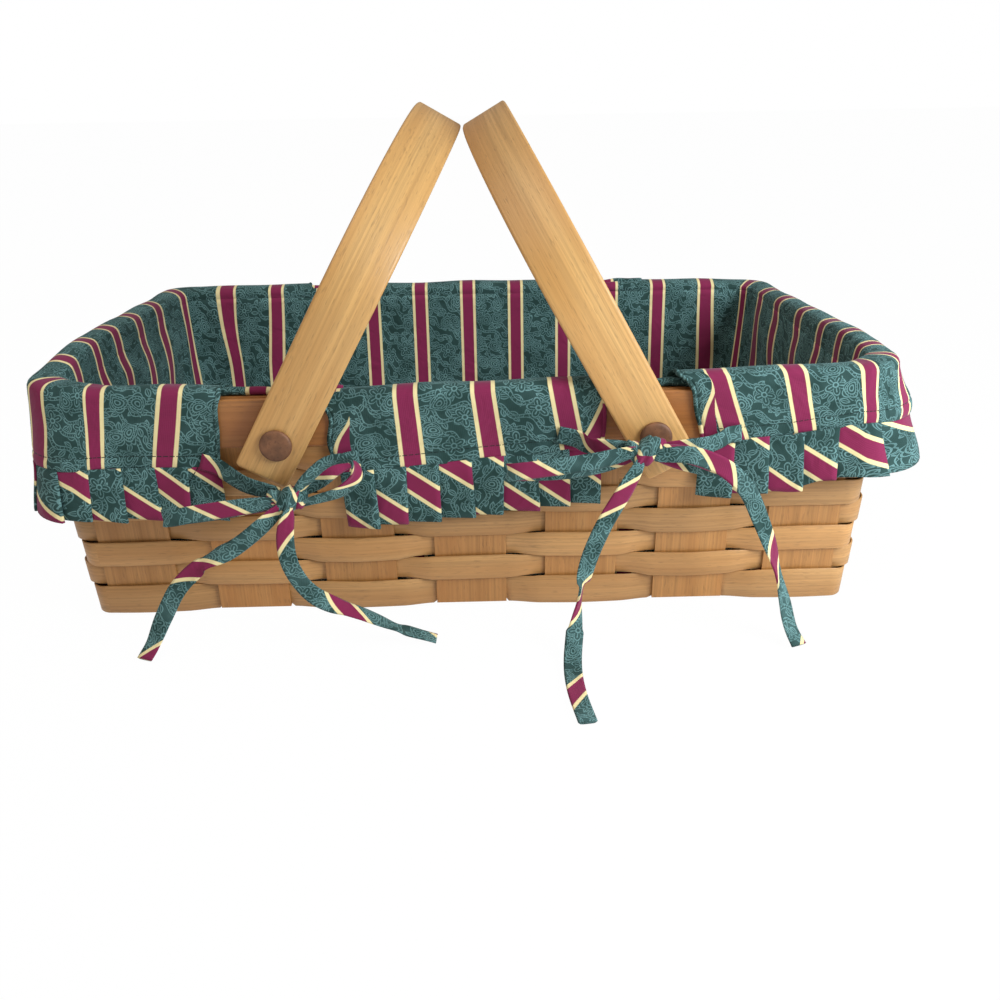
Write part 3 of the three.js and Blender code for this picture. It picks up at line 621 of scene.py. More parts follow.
class BASKET_OT_weavers(Operator):
    """Weave the thin bands over and under the uprights"""

    bl_idname = "basket.weavers"
    bl_label = "Weavers"

    def execute(self, context):
        s = settings()
        wall = Wall()
        wood = maple("maple weaver", list(context.scene.wood_colours.weaver), "UV", (0,), 1.0, 0.5)
        rows, columns, start, gap, room = 7, 620, 4.5, 0.6, 0.5
        foot_drop, foot_slope = 3.8, 3.0
        ease, round_edge, grain_apart = 0.3, 0.42, 90
        top = wall.height - mm(s.rim_band_height)
        pitch = (top - start) / rows
        thick, splint = mm(s.weaver_thickness), mm(s.splint_width)
        half = splint / 2 + room
        inner = half - foot_slope
        centres = [
            np.linspace(-1, 1, count) * (mm(size) / 2 - inset - splint / 2)
            for count, size, inset in ((7, s.base_length, 12), (4, s.base_width, 13))
        ]
        place = np.linspace(0, wall.round, columns)
        for row in range(rows):
            waves, bows, sags, feet, upright = [], [], [], [], row
            for side in range(4):
                for centre in centres[side % 2]:
                    at = wall.on_side(side, centre)
                    sign = 1 if upright % 2 == 0 else -1
                    waves += [(at - half, sign), (at + half, sign)]
                    bows += [(at - half, 0), (at, sign), (at + half, 0)]
                    sags.append((at, 0.9 * math.sin(upright * 2.3 + row * 4.1)))
                    feet += [(at - half, 1), (at - inner, sign), (at + inner, sign), (at + half, 1)]
                    upright += 1
            wave = wall.by_place(place, waves)
            wave = wave * (1.5 - 0.5 * wave**2)
            over = np.maximum(wave, 0) ** 2
            bow = np.sin(wall.by_place(place, bows) * math.pi / 2)
            middle = (wall.splint_face + thick / 2) * wave + mm(s.weaver_swell) * bow
            # A band shows its full width where it comes over an upright, and sags or lifts a little there
            drift = 0.15 * np.sin(place * 10 * math.pi / wall.round + row * 1.9)
            sag = over * wall.by_place(place, sags) + drift
            low = start + row * pitch + sag - 0.9 * over
            high = start + (row + 1) * pitch - gap + sag + 0.7 * over
            if row == 0:
                low = start - foot_drop * np.maximum(wall.by_place(place, feet), 0)
            high = np.minimum(high, top - ease)
            a, b, e = thick / 2, thick / 2 - ease, round_edge
            section = [
                (-a, low + e), (-a, high - e), (-b, high), (b, high),
                (a, high - e), (a, low + e), (b, low), (-b, low),
            ]
            grid = np.stack([wall.lay(place, z, middle + out, 1.2)[0] for out, z in section], 1)
            across = run_length(grid[0], closed=True) + row * grain_apart
            uv = np.stack(np.broadcast_arrays(place[:, None], across[None]), -1)
            name, band = f"weaver_{row + 1}", loft(grid, uv, wrap=True)
            weld(make_piece(f"maple_{name}", [band], wood, "maple_weaver", "basket", name))
        return {"FINISHED"}


class BASKET_OT_rim(Operator):
    """Finish the two bent bands that clamp the tops of the uprights"""

    bl_idname = "basket.rim"
    bl_label = "Rim"

    def execute(self, context):
        # The rim colour is darker than the weavers' maple, partly as painted shade from the overhanging flaps
        wood = maple("bent maple rim with painted shade", list(context.scene.wood_colours.rim), "Object", (0, 1), 1 / MM, 0.46)
        for name in ("rim_band_outer", "rim_band_inner"):
            finish_node(name, wood, 0.6)
        return {"FINISHED"}


class BASKET_OT_handles(Operator):
    """Bend the two flat handles that swing on their pegs"""

    bl_idname = "basket.handles"
    bl_label = "Handles"

    def execute(self, context):
        s = settings()
        wood = maple("steam bent maple", list(context.scene.wood_colours.handle), "UV", (0,), 1.0, 0.45)
        width, thick, reach = mm(s.handle_width), mm(s.handle_thickness), mm(s.handle_reach)
        leg = mm(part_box("handle_right")[1].y) - thick / 2
        depth, flat = mm(s.handle_bend), 14.0
        angle = np.linspace(0, math.pi / 2, 44)
        bend = [-leg + (leg - flat / 2) * (1 - np.cos(angle)), reach - depth + depth * np.sin(angle)]
        foot = np.array([0, 0.3, 0.8, 1.4, 2.2, 6, 14, 30, 50, 72]) - mm(s.handle_tail)
        half = np.vstack([np.stack([np.full(len(foot), -leg), foot], 1), np.stack(bend, 1)])
        line = np.vstack([half, (half * [-1, 1])[::-1]])
        tangent = unit(np.gradient(line, axis=0))
        outward = np.stack([-tangent[:, 1], tangent[:, 0]], 1)
        run = run_length(line)
        ease, corner, grain_apart = 1.5, 2.2, (700, 200)
        section = []
        for quarter, (sx, st) in enumerate(((1, 1), (-1, 1), (-1, -1), (1, -1))):
            for a in np.linspace(0, math.pi / 2, 4) + quarter * math.pi / 2:
                across = sx * (width / 2 - ease) + ease * math.cos(a)
                section.append((across, st * (thick / 2 - ease) + ease * math.sin(a)))
        section = np.array(section)[::-1]
        ring = run_length(section, closed=True)
        near = np.minimum(np.minimum(run, run[-1] - run), corner)
        inset = corner - np.sqrt(corner**2 - (corner - near) ** 2)
        # Each handle leans in until the crowns almost meet
        crown, almost = reach + thick / 2, 0.2
        lean = math.asin((mm(s.pivot_out) - almost) / math.hypot(crown, width / 2))
        lean -= math.atan2(width / 2, crown)
        across = np.sign(section[None, :, 0]) * (np.abs(section[None, :, 0]) - inset[:, None])
        rise = section[None, :, 1] * (1 - 0.2 * (inset / corner)[:, None])
        y = line[:, None, 0] + outward[:, None, 0] * rise
        z = line[:, None, 1] + outward[:, None, 1] * rise
        for name, side in (("left", -1), ("right", 1)):
            turn = -side * lean
            x_leant = across * math.cos(turn) + z * math.sin(turn) + side * mm(s.pivot_out)
            z_leant = z * math.cos(turn) - across * math.sin(turn) + mm(s.pivot_up)
            grid = np.stack([x_leant, y, z_leant], -1)
            grain = (run[:, None] + side * grain_apart[0], ring[None] + side * grain_apart[1])
            uv = np.stack(np.broadcast_arrays(*grain), -1)
            arch, node = loft(grid, uv, wrap=True, caps=True), f"handle_{name}"
            make_piece(f"bentwood_{node}", [arch], wood, "bentwood", f"{name}_handle", node)
        return {"FINISHED"}


class BASKET_OT_pegs(Operator):
    """Turn the pegs that the handles swing on, and finish their hidden caps"""

    bl_idname = "basket.pegs"
    bl_label = "Pegs"

    def execute(self, context):
        wood = turned_wood("dark stained peg wood", list(context.scene.wood_colours.peg))
        head, head_depth, shank, tiny = mm(settings().peg_head), 3.0, 3.0, 0.01
        for name in sorted(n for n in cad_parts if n.startswith("peg_")):
            if name.startswith("peg_cap_"):
                finish_node(name, wood)
                continue
            low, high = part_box(name)
            front = -1 if low.y < 0 else 1
            inner, tip = sorted((abs(mm(low.y)), abs(mm(high.y))))
            back = tip - head_depth
            profile = np.array([
                (tiny, inner), (shank - 0.4, inner), (shank, inner + 0.5), (shank, back), (head - 0.5, back),
                (head, back + 0.5), (head, back + 1.4), (head - 0.3, back + 2.0), (head - 0.9, back + 2.4),
                (head - 1.7, back + 2.55), (head * 0.5, back + 2.85), (head * 0.2, back + 2.98), (tiny, tip),
            ])
            angle = -front * np.linspace(0, 2 * math.pi, 48, endpoint=False)
            x = mm((low.x + high.x) / 2) + profile[:, None, 0] * np.cos(angle)[None]
            z = mm((low.z + high.z) / 2) + profile[:, None, 0] * np.sin(angle)[None]
            y = np.broadcast_to(front * profile[:, None, 1], x.shape)
            uv = np.zeros((len(profile), len(angle) + 1, 2))
            turned = loft(np.stack([x, y, z], -1), uv, wrap=True, caps=True)
            make_piece(f"turned_{name}", [turned], wood, "peg_wood", "basket", name)
        return {"FINISHED"}


# Cloth liner


class Liner:
    """Where the liner's cloth lies round the basket, and where its stripes fall.

    The bag's upper edge and how far it hangs in from the wall come first, then the least radius of its
    corners and how far their gathers reach, how far a flap lies outside the wall, and the rows over the fold.
    """

    inside_edge, hang_in = 126.0, 9.6
    corner, gather_reach = 15.0, 46
    face, face_most = 5.0, 5.3
    flap_rows, fold_row = 48, 14

    def __init__(self):
        wall = self.wall = Wall()
        front, back = wall.front, wall.back
        # Stripes counted at places round the fold, and again at the first
        counted = wall.marks(
            front={-190.9: 0, 208.8: 10},
            right={-106: 12, -42: 14, 52: 16},
            back={180.5: 19, -182.5: 29},
            left={-60: 31, 28: 33, 95: 35, 137: 36},
        )
        self.stripe_at = np.array([place for place, _ in counted] + [counted[0][0] + wall.round])
        self.stripe_to = np.array([count for _, count in counted] + [37]) * mm(cloth_settings().stripe_pitch)
        # Height of the fold and of the seam, and how far the seam stands off
        self.folds = wall.marks(
            front={
                -207: 138.5, -190: 136.4, -128: 134.6, -68: 132.4, 0: 134.2,
                68: 136.4, 118: 137.6, 170: 140, 205: 140.8,
            },
            right={-98: 143, -33: 140.4, 50: 134, 110: 131},
            back={190: 131, 40: 133.2, -68: 133.2, -205: 133.4},
            left={-87: 135.4, 0: 141, 54: 142.4, 95: 141.4},
        )
        self.seams = wall.marks(
            front={-205: 94, -128: 92.6, -68: 87, 68: 99.6, 128: 101.2, 170: 104.6, 204: 111.4},
            right={-90: 115, 0: 112},
            back={205: 104, 128: 100, 68: 95, -68: 91.5, -128: 92, -205: 93.5},
            left={0: 96},
        )
        self.flares = wall.marks(
            front={-204: 5.5, -165: 1.8, -128: 0.8, -68: 0.4, 68: 0.8, 128: 0.5, 165: 2.4, 204: 7},
            right={-100: 12, 0: 10, 100: 6},
            back={190: 3, 128: 1, -128: 1, -190: 3},
            left={-100: 5, 0: 6.5, 100: 7},
        )
        # How far the stripes lean for each millimetre down, on the flaps and inside, and the ruffles' drop
        self.leans = wall.marks(
            front={-200: -0.12, -160: -0.22, -68: 0, 0: 0.1, 150: 0.34, 206: 0.12, 221: -0.35},
            right={-60: -0.1, 0: 0},
            back={150: -0.12, -150: 0.12, -200: 0},
            left={0: 0.03},
        )
        self.skews = wall.marks(
            front={0: 0, 205: 0},
            right={-80: 0.26, -20: 0.36, 60: 0.3, 105: 0.1},
            back={175: 0, -120: 0, -184: -0.1, -206: 0.08},
            left={-70: -0.2, -30: -0.1, 20: 0},
        )
        self.drops = wall.marks(
            front={-200: 26, -128: 29, -68: 31, 68: 31.5, 128: 33, 176: 32, 186: 28},
            right={0: 27},
            back={205: 28, -205: 28},
            left={60: 26},
        )
        # Each flap's run from edge to edge, and for its two edges how far the top, middle and foot reach
        # beyond that, where the stripes of the facing start and how many columns of the sheet are faced
        self.runs = {
            "front": (front(-68), front(68), (6, 4.5, 0, 20, 4), (4, 0, 3, 29, 4)),
            "right": (front(128), back(128), (17, 2.5, 4.5, 20, 3), (6, 0, 2, 14, 2)),
            "back": (back(68), back(-68), (6, 0, 1, 20, 4), (6, 0, 1, 29, 4)),
            "left": (back(-128), front(-128) + wall.round, (6, 0, 2, 20, 3), (2, 0, -3, 14, 2)),
        }

    def stripes(self, place):
        """Millimetres of cloth round the rim, from stripe to stripe as they were counted."""
        turns = np.floor((place - self.stripe_at[0]) / self.wall.round)
        local = place - turns * self.wall.round
        return np.interp(local, self.stripe_at, self.stripe_to) + turns * self.stripe_to[-1]

    def inside(self, place, z):
        """Offset of the cloth inside the basket: it hangs in soft hollows and gathers in the corners."""
        wall = self.wall
        once = place * 2 * math.pi / wall.round
        hollow = 0.9 * np.sin(7 * once + 0.5 * np.sin(z / 31)) + 0.6 * np.sin(13 * once + z / 53 + 1.1)
        depth = smooth_step(134 - z, 0, 60)
        gather = wall.corner_share(place, self.gather_reach)
        folds = gather * (1.1 * np.sin(place / 4.6 + z / 38) + 0.7 * np.sin(place / 7.9 - z / 29 + 2.0))
        down = self.inside_edge - z
        billow = np.sin(down / 13 + 0.7 * np.sin(9 * once))
        billow = billow * smooth_step(down, 0, 14) * (1 - smooth_step(down, 46, 90))
        ends = {-118: 0, -60: 1, 60: 1, 118: 0}
        at_end = wall.by_place(place, wall.marks(right=ends, left=ends))
        inward = 0.6 * hollow * (0.5 + depth) + 0.9 * folds * (0.35 + depth)
        return -self.hang_in - inward - 1.6 * gather - 2.4 * billow * at_end

    def lay(self, place, z, offset):
        """Points of the cloth and its places as cut. It doesn't go into the corners inside."""
        return self.wall.lay(place, z, offset, self.corner - 0.2 * (offset + 9))

    def profile(self, place):
        """Each column's line from the inside edge over the fold down to the seam: offsets and heights."""
        wall = self.wall
        tops = wall.by_place(place, self.folds) + 0.4 * np.sin(place / 23) + 0.3 * np.sin(place / 9.7 + 1)
        seams, flares = wall.by_place(place, self.seams), wall.by_place(place, self.flares)
        faces = self.face + 0.3 * np.sin(place / 13 + 0.4) + 0.2 * np.sin(place / 29)
        faces = np.minimum(faces, self.face_most)
        edge = self.inside_edge
        inners = self.inside(place, np.full_like(place, edge))
        lines = []
        for z, foot, out, inner, face in zip(tops, seams, flares, inners, faces):
            route = [
                (inner + 0.9, edge - 4), (inner + 0.15, edge), (inner, (edge + z) / 2),
                (inner + 1.2, z - 1.6), (inner + 4.4, z), (face - 4.4, z + 0.2), (face - 1, z - 1.8),
                (face + 0.1, z - 6), (face + out * 0.35, (z + foot) / 2), (face + out * 0.85, foot + 7),
                (face + out, foot + 3), (face + out, foot),
            ]
            lines.append(smooth_path(route, self.flap_rows))
        return np.array(lines)


def cloth_piece(node, parts):
    """A piece of the liner. Its cloth is made once, for the operators that share it."""
    name = "printed cotton liner"
    cotton = bpy.data.materials.get(name) or printed_cotton(name, 0.1)
    return make_piece(f"cotton_{node}", parts, cotton, "printed_cotton", "basket", node)


class BASKET_OT_liner_bag(Operator):
    """Hang the cloth bag inside, with its bound edge at the handles"""

    bl_idname = "basket.liner_bag"
    bl_label = "Liner bag"

    def execute(self, context):
        liner = Liner()
        wall = liner.wall
        columns, rows, lowest = 520, 30, 16
        place = np.linspace(0, wall.round, columns) + wall.front(0)
        wall_heights = np.linspace(liner.inside_edge, lowest, rows)
        heights = np.concatenate([wall_heights, [13, 10.6, 8.8, 7.5, 6.8, 6.5]])
        tuck = np.concatenate([np.zeros(rows), [0.5, 1.6, 3.4, 6, 9.5, 14]])
        z = np.broadcast_to(heights[None], (columns, len(heights)))
        offset = liner.inside(place[:, None], np.maximum(z, lowest)) - tuck[None]
        slack = wall.by_place(place, wall.marks(front={0: 5}, back={0: 5, -207: 11}, left={-121: 11, 60: 5}))
        corner = liner.corner + slack[:, None] * smooth_step(liner.inside_edge - z, 2, 54) + tuck[None] * 0.4
        grid, cut = wall.lay(place[:, None], z, offset, corner)
        fold_length = 62.0
        down = fold_length + run_length(np.stack([heights, tuck], 1))
        lean = (down - fold_length) * (1 - 0.75 * smooth_step(down - fold_length, 40, 110))
        skew = wall.by_place(place, liner.skews)[:, None] * lean[None]
        parts = [loft(grid, np.stack(np.broadcast_arrays(liner.stripes(cut + skew), down[None]), -1))]
        # The floor is one with the back wall, so its stripes run on across it
        long, wide, bend = 204, 116, 16
        x, y = np.meshgrid(np.linspace(-long, long, 103), np.linspace(-wide, wide, 60), indexing="ij")
        past = np.hypot(np.maximum(np.abs(x) - long + bend, 0), np.maximum(np.abs(y) - wide + bend, 0))
        past = np.maximum(past - bend, 0)
        x, y = x - np.sign(x) * past * 0.7, y - np.sign(y) * past * 0.7
        edge = np.minimum(long - np.abs(x), wide - np.abs(y))
        waves = 0.5 * np.sin(x / 37 + y / 51) + 0.4 * np.sin(y / 23 - x / 61 + 1)
        waves = waves + 0.25 * np.sin(x / 13 + 2 * np.sin(y / 29))
        level, floor_print = 6.2, 400
        floor = np.stack([x, y, level + smooth_step(edge, 4, 40) * (0.8 + waves)], -1)
        parts.append(loft(floor, np.stack([liner.stripes(wall.back(x)), y + floor_print], -1)))
        # At each handle the cloth stops at the rim, and its edge is bound
        peg, half_gap = mm(settings().pivot_out), 34
        binding_print, binding_radius = [-3.5, 240], 1.7
        roll = np.array([(0, 126), (0, 128.6), (0.4, 130.4), (1.6, 131.4), (3.4, 131.7), (5.4, 131.6)])
        for middle in (wall.front(-peg), wall.front(peg), wall.back(peg), wall.back(-peg)):
            span = np.linspace(middle - half_gap, middle + half_gap, 48)
            rise = 0.5 * np.sin(span / 7 + 1) + 0.3 * np.sin(span / 3.1)
            z = roll[None, :, 1] + rise[:, None] * np.linspace(0, 1, len(roll))[None]
            offset = liner.inside(span, np.full_like(span, liner.inside_edge))[:, None] + roll[None, :, 0]
            collar, cut = liner.lay(span[:, None], z, offset)
            up = np.broadcast_to(fold_length - run_length(roll)[None], cut.shape)
            uv = np.stack([liner.stripes(cut), up], -1)
            parts.append(loft(collar[:, ::-1], uv[:, ::-1]))
            bound = liner.lay(span, z[:, -1] + 0.4, offset[:, -1] + 0.4)[0]
            parts.append(tube(bound, uv[:, -1] + binding_print, binding_radius, 10))
        piece = cloth_piece("liner_bag", parts)
        thicken(piece, mm(cloth_settings().cloth_thickness))
        return {"FINISHED"}


class BASKET_OT_flaps(Operator):
    """Fold the four flaps over the rim"""

    bl_idname = "basket.flaps"
    bl_label = "Flaps"

    def execute(self, context):
        liner = Liner()
        wall = liner.wall
        bias, edge_radius = math.radians(25), 0.7
        column_width, fewest, fold_share = 2.2, 40, 0.4
        over_rim, outer = slice(liner.fold_row, None, -1), slice(None, liner.fold_row - 1, -1)
        for name, (first, last, *reaches) in liner.runs.items():
            place = np.linspace(first, last, max(int((last - first) / column_width), fewest))
            lines = liner.profile(place)
            run = np.array([run_length(line) for line in lines])
            up = run[:, -1:] - run
            past = run - run[:, -1:] * fold_share
            below = np.maximum(past, 0)
            offset, z = lines[..., 0], lines[..., 1]
            outside = smooth_step(below, 3, 12)
            # The stitched hem draws in, the cut edges lift, and the cloth ripples as it hangs
            offset = offset - 0.5 * np.exp(-(((up - HEM) / 0.9) ** 2)) * outside
            apart = place[:, None]
            ends = (apart - first, last - apart)
            at_edge = np.exp(-np.minimum(*ends) / 6)
            offset = offset + at_edge * outside * (0.04 + 0.1 * np.sin(z / 6.5))
            loose = 0.4 + 0.6 * smooth_step(wall.by_place(place, liner.flares), 1, 6)[:, None]
            ripple = np.sin(apart / 15 + z / 33) + 0.7 * np.sin(apart / 6.3 - z / 21)
            offset = offset + smooth_step(below, 8, 24) * loose * 0.7 * ripple * (1 - at_edge)
            shift = 1.2 * np.exp(-np.minimum(*ends) / 9) * np.sin(z / 9 + first)
            for sign, (top, middle, foot, *_), end in zip((-1, 1), reaches, ends):
                bulge = middle * np.exp(-(((below - 20) / 11) ** 2))
                reach = foot + (top - foot) * np.exp(-below / 7) + bulge
                shift = shift + sign * reach * np.exp(-end / 15)
            grid, cut = liner.lay(apart + shift, z, offset)
            u = liner.stripes(cut) - wall.by_place(place, liner.leans)[:, None] * below
            uv = np.stack([u, up], -1)
            # Outside, the cut edges are faced with a strip cut on the bias
            (*_, start_a, a), (*_, start_b, b) = reaches
            parts = [loft(grid[:, over_rim], uv[:, over_rim]), loft(grid[a:-b, outer], uv[a:-b, outer])]
            for edge, strip, start in ((0, slice(a + 1), start_a), (-1, slice(-b - 1, None), start_b)):
                x, d = (cut - cut[edge])[strip], past[strip]
                flat = np.stack([x * math.cos(bias) + d * math.sin(bias) + start, d + FACING_PRINT], -1)
                parts.append(loft(grid[strip, outer], flat[:, outer]))
                parts.append(tube(grid[edge, liner.fold_row :], flat[edge, liner.fold_row :], edge_radius))
            piece = cloth_piece(f"flap_{name}", parts)
            thicken(weld(piece), mm(cloth_settings().cloth_thickness))
            flat = ((last - first) * MM, float(run[:, -1].mean()) * MM)
        return {"FINISHED"}


class BASKET_OT_ruffles(Operator):
    """Pleat a ruffle under each flap"""

    bl_idname = "basket.ruffles"
    bl_label = "Ruffles"

    def execute(self, context):
        c = cloth_settings()
        liner = Liner()
        wall = liner.wall
        tuck, bias, thickness, fullness = 5.0, math.radians(37), 0.8, 2.8
        # How much closer the pleats lie round the corners, and where each ruffle's print starts
        prints = {"front": (0, 38.3), "right": (0, 58.6), "back": (0, 38.3), "left": (0.45, 37.9)}
        rows, pleat_columns, corner_reach = 12, 10, 34
        seam_lap, stand_off = 0.8, 4.6
        down = np.linspace(0, 1, rows)[None]
        for name, (first, last, *reaches) in liner.runs.items():
            first, last = first - reaches[0][2], last + reaches[1][2]
            closer, print_start = prints[name]
            fine = np.linspace(first, last, 500)
            density = 1 + closer * wall.corner_share(fine, corner_reach)
            packed = np.cumsum(density) * (last - first) / len(fine)
            pleats = round(packed[-1] / mm(c.pleat_pitch))
            edges = np.interp(np.linspace(packed[0], packed[-1], pleats + 1), packed, fine)
            columns, cloth = [], 0.0
            for i, (left, right) in enumerate(zip(edges[:-1], edges[1:])):
                hidden = tuck if i else 0.0
                width = right - left + hidden
                # The print steps on by the cloth that each pleat takes, most of it out of sight
                printed = print_start + fullness * (left - first) - hidden
                for t in np.linspace(0, 1, pleat_columns):
                    columns.append((left - hidden + width * t, 0.1 + 0.9 * t**0.8, printed + width * t, i, t))
                cloth += width
                if i + 1 < pleats:
                    for t, height in ((-0.06, 0.82), (0.3, 0.5), (0.9, 0.12)):
                        under = printed + width + tuck * max(t, 0.03)
                        columns.append((right - tuck * t, height, under, i, 1.0))
                    cloth += tuck
            place, height, along, index, across = (np.array(column)[:, None] for column in zip(*columns))
            flare = wall.by_place(place, liner.flares)
            chance = np.sin(index * 12.9 + first)
            drop = wall.by_place(place, liner.drops) + 1.3 * chance + 1.2 * (across - 0.5)
            z = wall.by_place(place, liner.seams) + seam_lap - drop * down
            depth = 1.0 + (4.0 + 1.2 * np.sin(index * 2.9 + 1)) * smooth_step(down, -0.15, 0.9)
            spread = (1.0 + 0.55 * flare) * down**1.3
            offset = stand_off + flare + spread + height * depth + 0.5 * np.sin(down * 3 + index) * height
            swing = (0.9 * np.sin(index * 2.4 + first) + 0.5) * 1.6 * down
            grid, _ = liner.lay(place + swing, z, offset)
            fall = drop * down
            u = along * math.sin(bias) - fall * math.cos(bias)
            v = along * math.cos(bias) + fall * math.sin(bias) + RUFFLE_PRINT
            parts = [loft(grid[:, ::-1], np.stack([u, v], -1)[:, ::-1])]
            piece = cloth_piece(f"ruffle_{name}", parts)
            thicken(piece, thickness)
        return {"FINISHED"}


# Ties: each route is a CAD tie's, in millimetres. Across is the way that a tie's width points, lie_from is
# the share of its run from which it turns to lie flat, and turns are its roll in degrees at shares of its run
FRONT, UP = np.array([0, -1.0, 0]), np.array([0, 0, 1.0])
LEFT_BOW = {
    "lead_left": {
        "route": [
            (-140, -141.8, 97), (-131, -142.4, 94), (-124, -146, 90.5), (-114, -152, 87), (-97, -156.5, 84),
        ],
    },
    "lead_right": {
        "route": [
            (-57, -141.6, 97), (-64, -142.2, 95.5), (-70, -146, 93), (-77, -152, 89), (-89, -156.5, 84),
        ],
    },
    "loop_left": {
        "route": [
            (-98, -163, 82), (-115, -165.5, 81), (-137, -166, 78), (-153, -165, 75), (-157, -162.5, 74),
            (-152, -160, 73), (-132, -159.6, 75), (-113, -159.6, 78), (-98, -160, 80),
        ],
        "across": UP,
    },
    "loop_right": {
        "route": [
            (-88, -162, 85), (-81, -162, 94), (-69, -162, 103), (-59, -162, 103), (-57, -162, 95),
            (-65, -162, 87), (-76, -162, 83), (-87, -162, 80),
        ],
        "across": (-0.32, -0.6, 0.73),
    },
    "tail_left": {
        "route": [
            (-96, -165.8, 79.5), (-106, -168.4, 71), (-121, -168, 59), (-140, -167, 48), (-153, -167, 36),
            (-163, -169, 19), (-169, -175, 6), (-172, -182, 1.4),
        ],
        "lie_from": 0.7,
        "turns": [(0, 0), (0.2, 10), (0.44, -62), (0.6, -12), (1, 0)],
    },
    "tail_right": {
        "route": [
            (-91, -167.6, 80.5), (-94, -170.6, 65), (-92, -171, 48), (-81, -170, 30), (-57, -168, 17),
            (-37, -168, 7), (-19, -169, 1.4),
        ],
        "lie_from": 0.6,
        "turns": [(0, 55), (0.1, 12), (0.3, 0), (0.5, 38), (0.62, 72), (0.78, 58), (0.9, 8), (1, 0)],
    },
}
RIGHT_BOW = {
    "lead_left": {
        "route": [
            (48, -142.4, 108), (58, -143, 105.5), (63, -148, 104), (69, -154.5, 105), (86, -157.6, 105),
        ],
    },
    "lead_right": {
        "route": [
            (144, -143.4, 107), (137, -145, 106.4), (132, -149.4, 105.6), (124, -154.5, 105),
            (96, -157.6, 104),
        ],
    },
    "loop_left": {
        "route": [
            (86, -163.6, 106), (66, -166, 102), (42, -167, 99), (26, -166, 97), (21, -163.5, 95.5),
            (26, -161, 94), (46, -160.6, 94), (68, -160.6, 97), (85, -160.8, 102),
        ],
        "across": UP,
    },
    "loop_right": {
        "route": [
            (96, -163.6, 106), (110, -165.6, 104), (124, -165.6, 99), (130, -163.6, 96),
            (125, -161.2, 95), (111, -160.8, 98), (97, -160.8, 102),
        ],
        "across": UP,
    },
    "tail_left": {
        "route": [
            (88, -166, 101), (80, -169.4, 87), (69, -170, 66), (61, -170, 44), (57, -173, 23),
            (54, -183, 7), (52, -200, 1.6), (52, -222, 1.4), (55, -247, 1.4),
        ],
        "lie_from": 0.35,
        "turns": [(0, 10), (0.25, 5), (0.46, 76), (0.62, 20), (0.8, 0), (1, 0)],
    },
    "tail_right": {
        "route": [
            (95, -166.4, 104), (113, -169, 105), (130, -170, 98), (142, -170, 86), (150, -170, 70),
            (159, -170, 47), (166, -172, 24), (170, -177, 8), (173, -184, 1.4),
        ],
        "lie_from": 0.75,
        "turns": [(0, 0), (0.3, 5), (0.55, 25), (0.72, 64), (0.86, 28), (1, 0)],
    },
}
BOWS = (((-93, -160, 82), LEFT_BOW), ((91, -161, 105), RIGHT_BOW))


def ribbon(strand, kind, count, cloth_start):
    """A folded tie along its route: a thin lens across, a little cupped, and pinched towards the knot."""
    c = cloth_settings()
    path = smooth_path(strand["route"], count)
    share = np.linspace(0, 1, count)
    tangent = unit(np.gradient(path, axis=0))
    if "across" in strand:
        across = np.broadcast_to(np.array(strand["across"], float), path.shape)
    else:
        lie = smooth_step(share, strand.get("lie_from", 1), 1.001)[:, None]
        across = np.cross(tangent, FRONT * (1 - lie) + UP * lie)
    across = unit(across - tangent * (across * tangent).sum(1, keepdims=True))
    face = np.cross(across, tangent)
    turns = np.array(strand.get("turns", [(0, 0), (1, 0)]), float)
    roll = np.radians(smooth_turns(share, turns))[:, None]
    across, face = across * np.cos(roll) + face * np.sin(roll), face * np.cos(roll) - across * np.sin(roll)
    run = run_length(path)
    near = {"tail": run, "lead": run[-1] - run, "loop": np.minimum(run, run[-1] - run)}[kind]
    pinch, pinch_run, bias = 0.42, 7, math.radians(52)
    squeeze = 1 - pinch * np.exp(-near / pinch_run)
    half = mm(c.tie_width) / 2 * squeeze
    w = np.linspace(-1, 1, 9)
    grid, v = [], []
    for a, side in [(a, 1) for a in w] + [(a, -1) for a in w[::-1][1:-1]]:
        lens = side * mm(c.tie_thickness) / 2 * (1 - 0.6 * a**4)
        cup = (0.35 + 0.3 * np.sin(run / 11 + cloth_start)) * a**2
        gather = 1.6 * (1 - squeeze) * math.sin(a * 8)
        grid.append(path + across * (a * half)[:, None] + face * (lens + cup + gather)[:, None])
        v.append(a * mm(c.tie_width) / 2 * (1 if side > 0 else -1) + (0 if side > 0 else mm(c.tie_width)))
    v = np.array(v + [v[0] + 2 * mm(c.tie_width)])[None]
    along = (run + cloth_start)[:, None]
    u, v = along * math.cos(bias) - v * math.sin(bias), v * math.cos(bias) + along * math.sin(bias)
    return loft(np.stack(grid, 1), np.stack([u, v + TIE_PRINT], -1), wrap=True, caps=True), path


def smooth_turns(share, turns):
    """Angles between the given ones, with no kink at them."""
    return np.interp(share, *smooth_path(turns, 60).T)


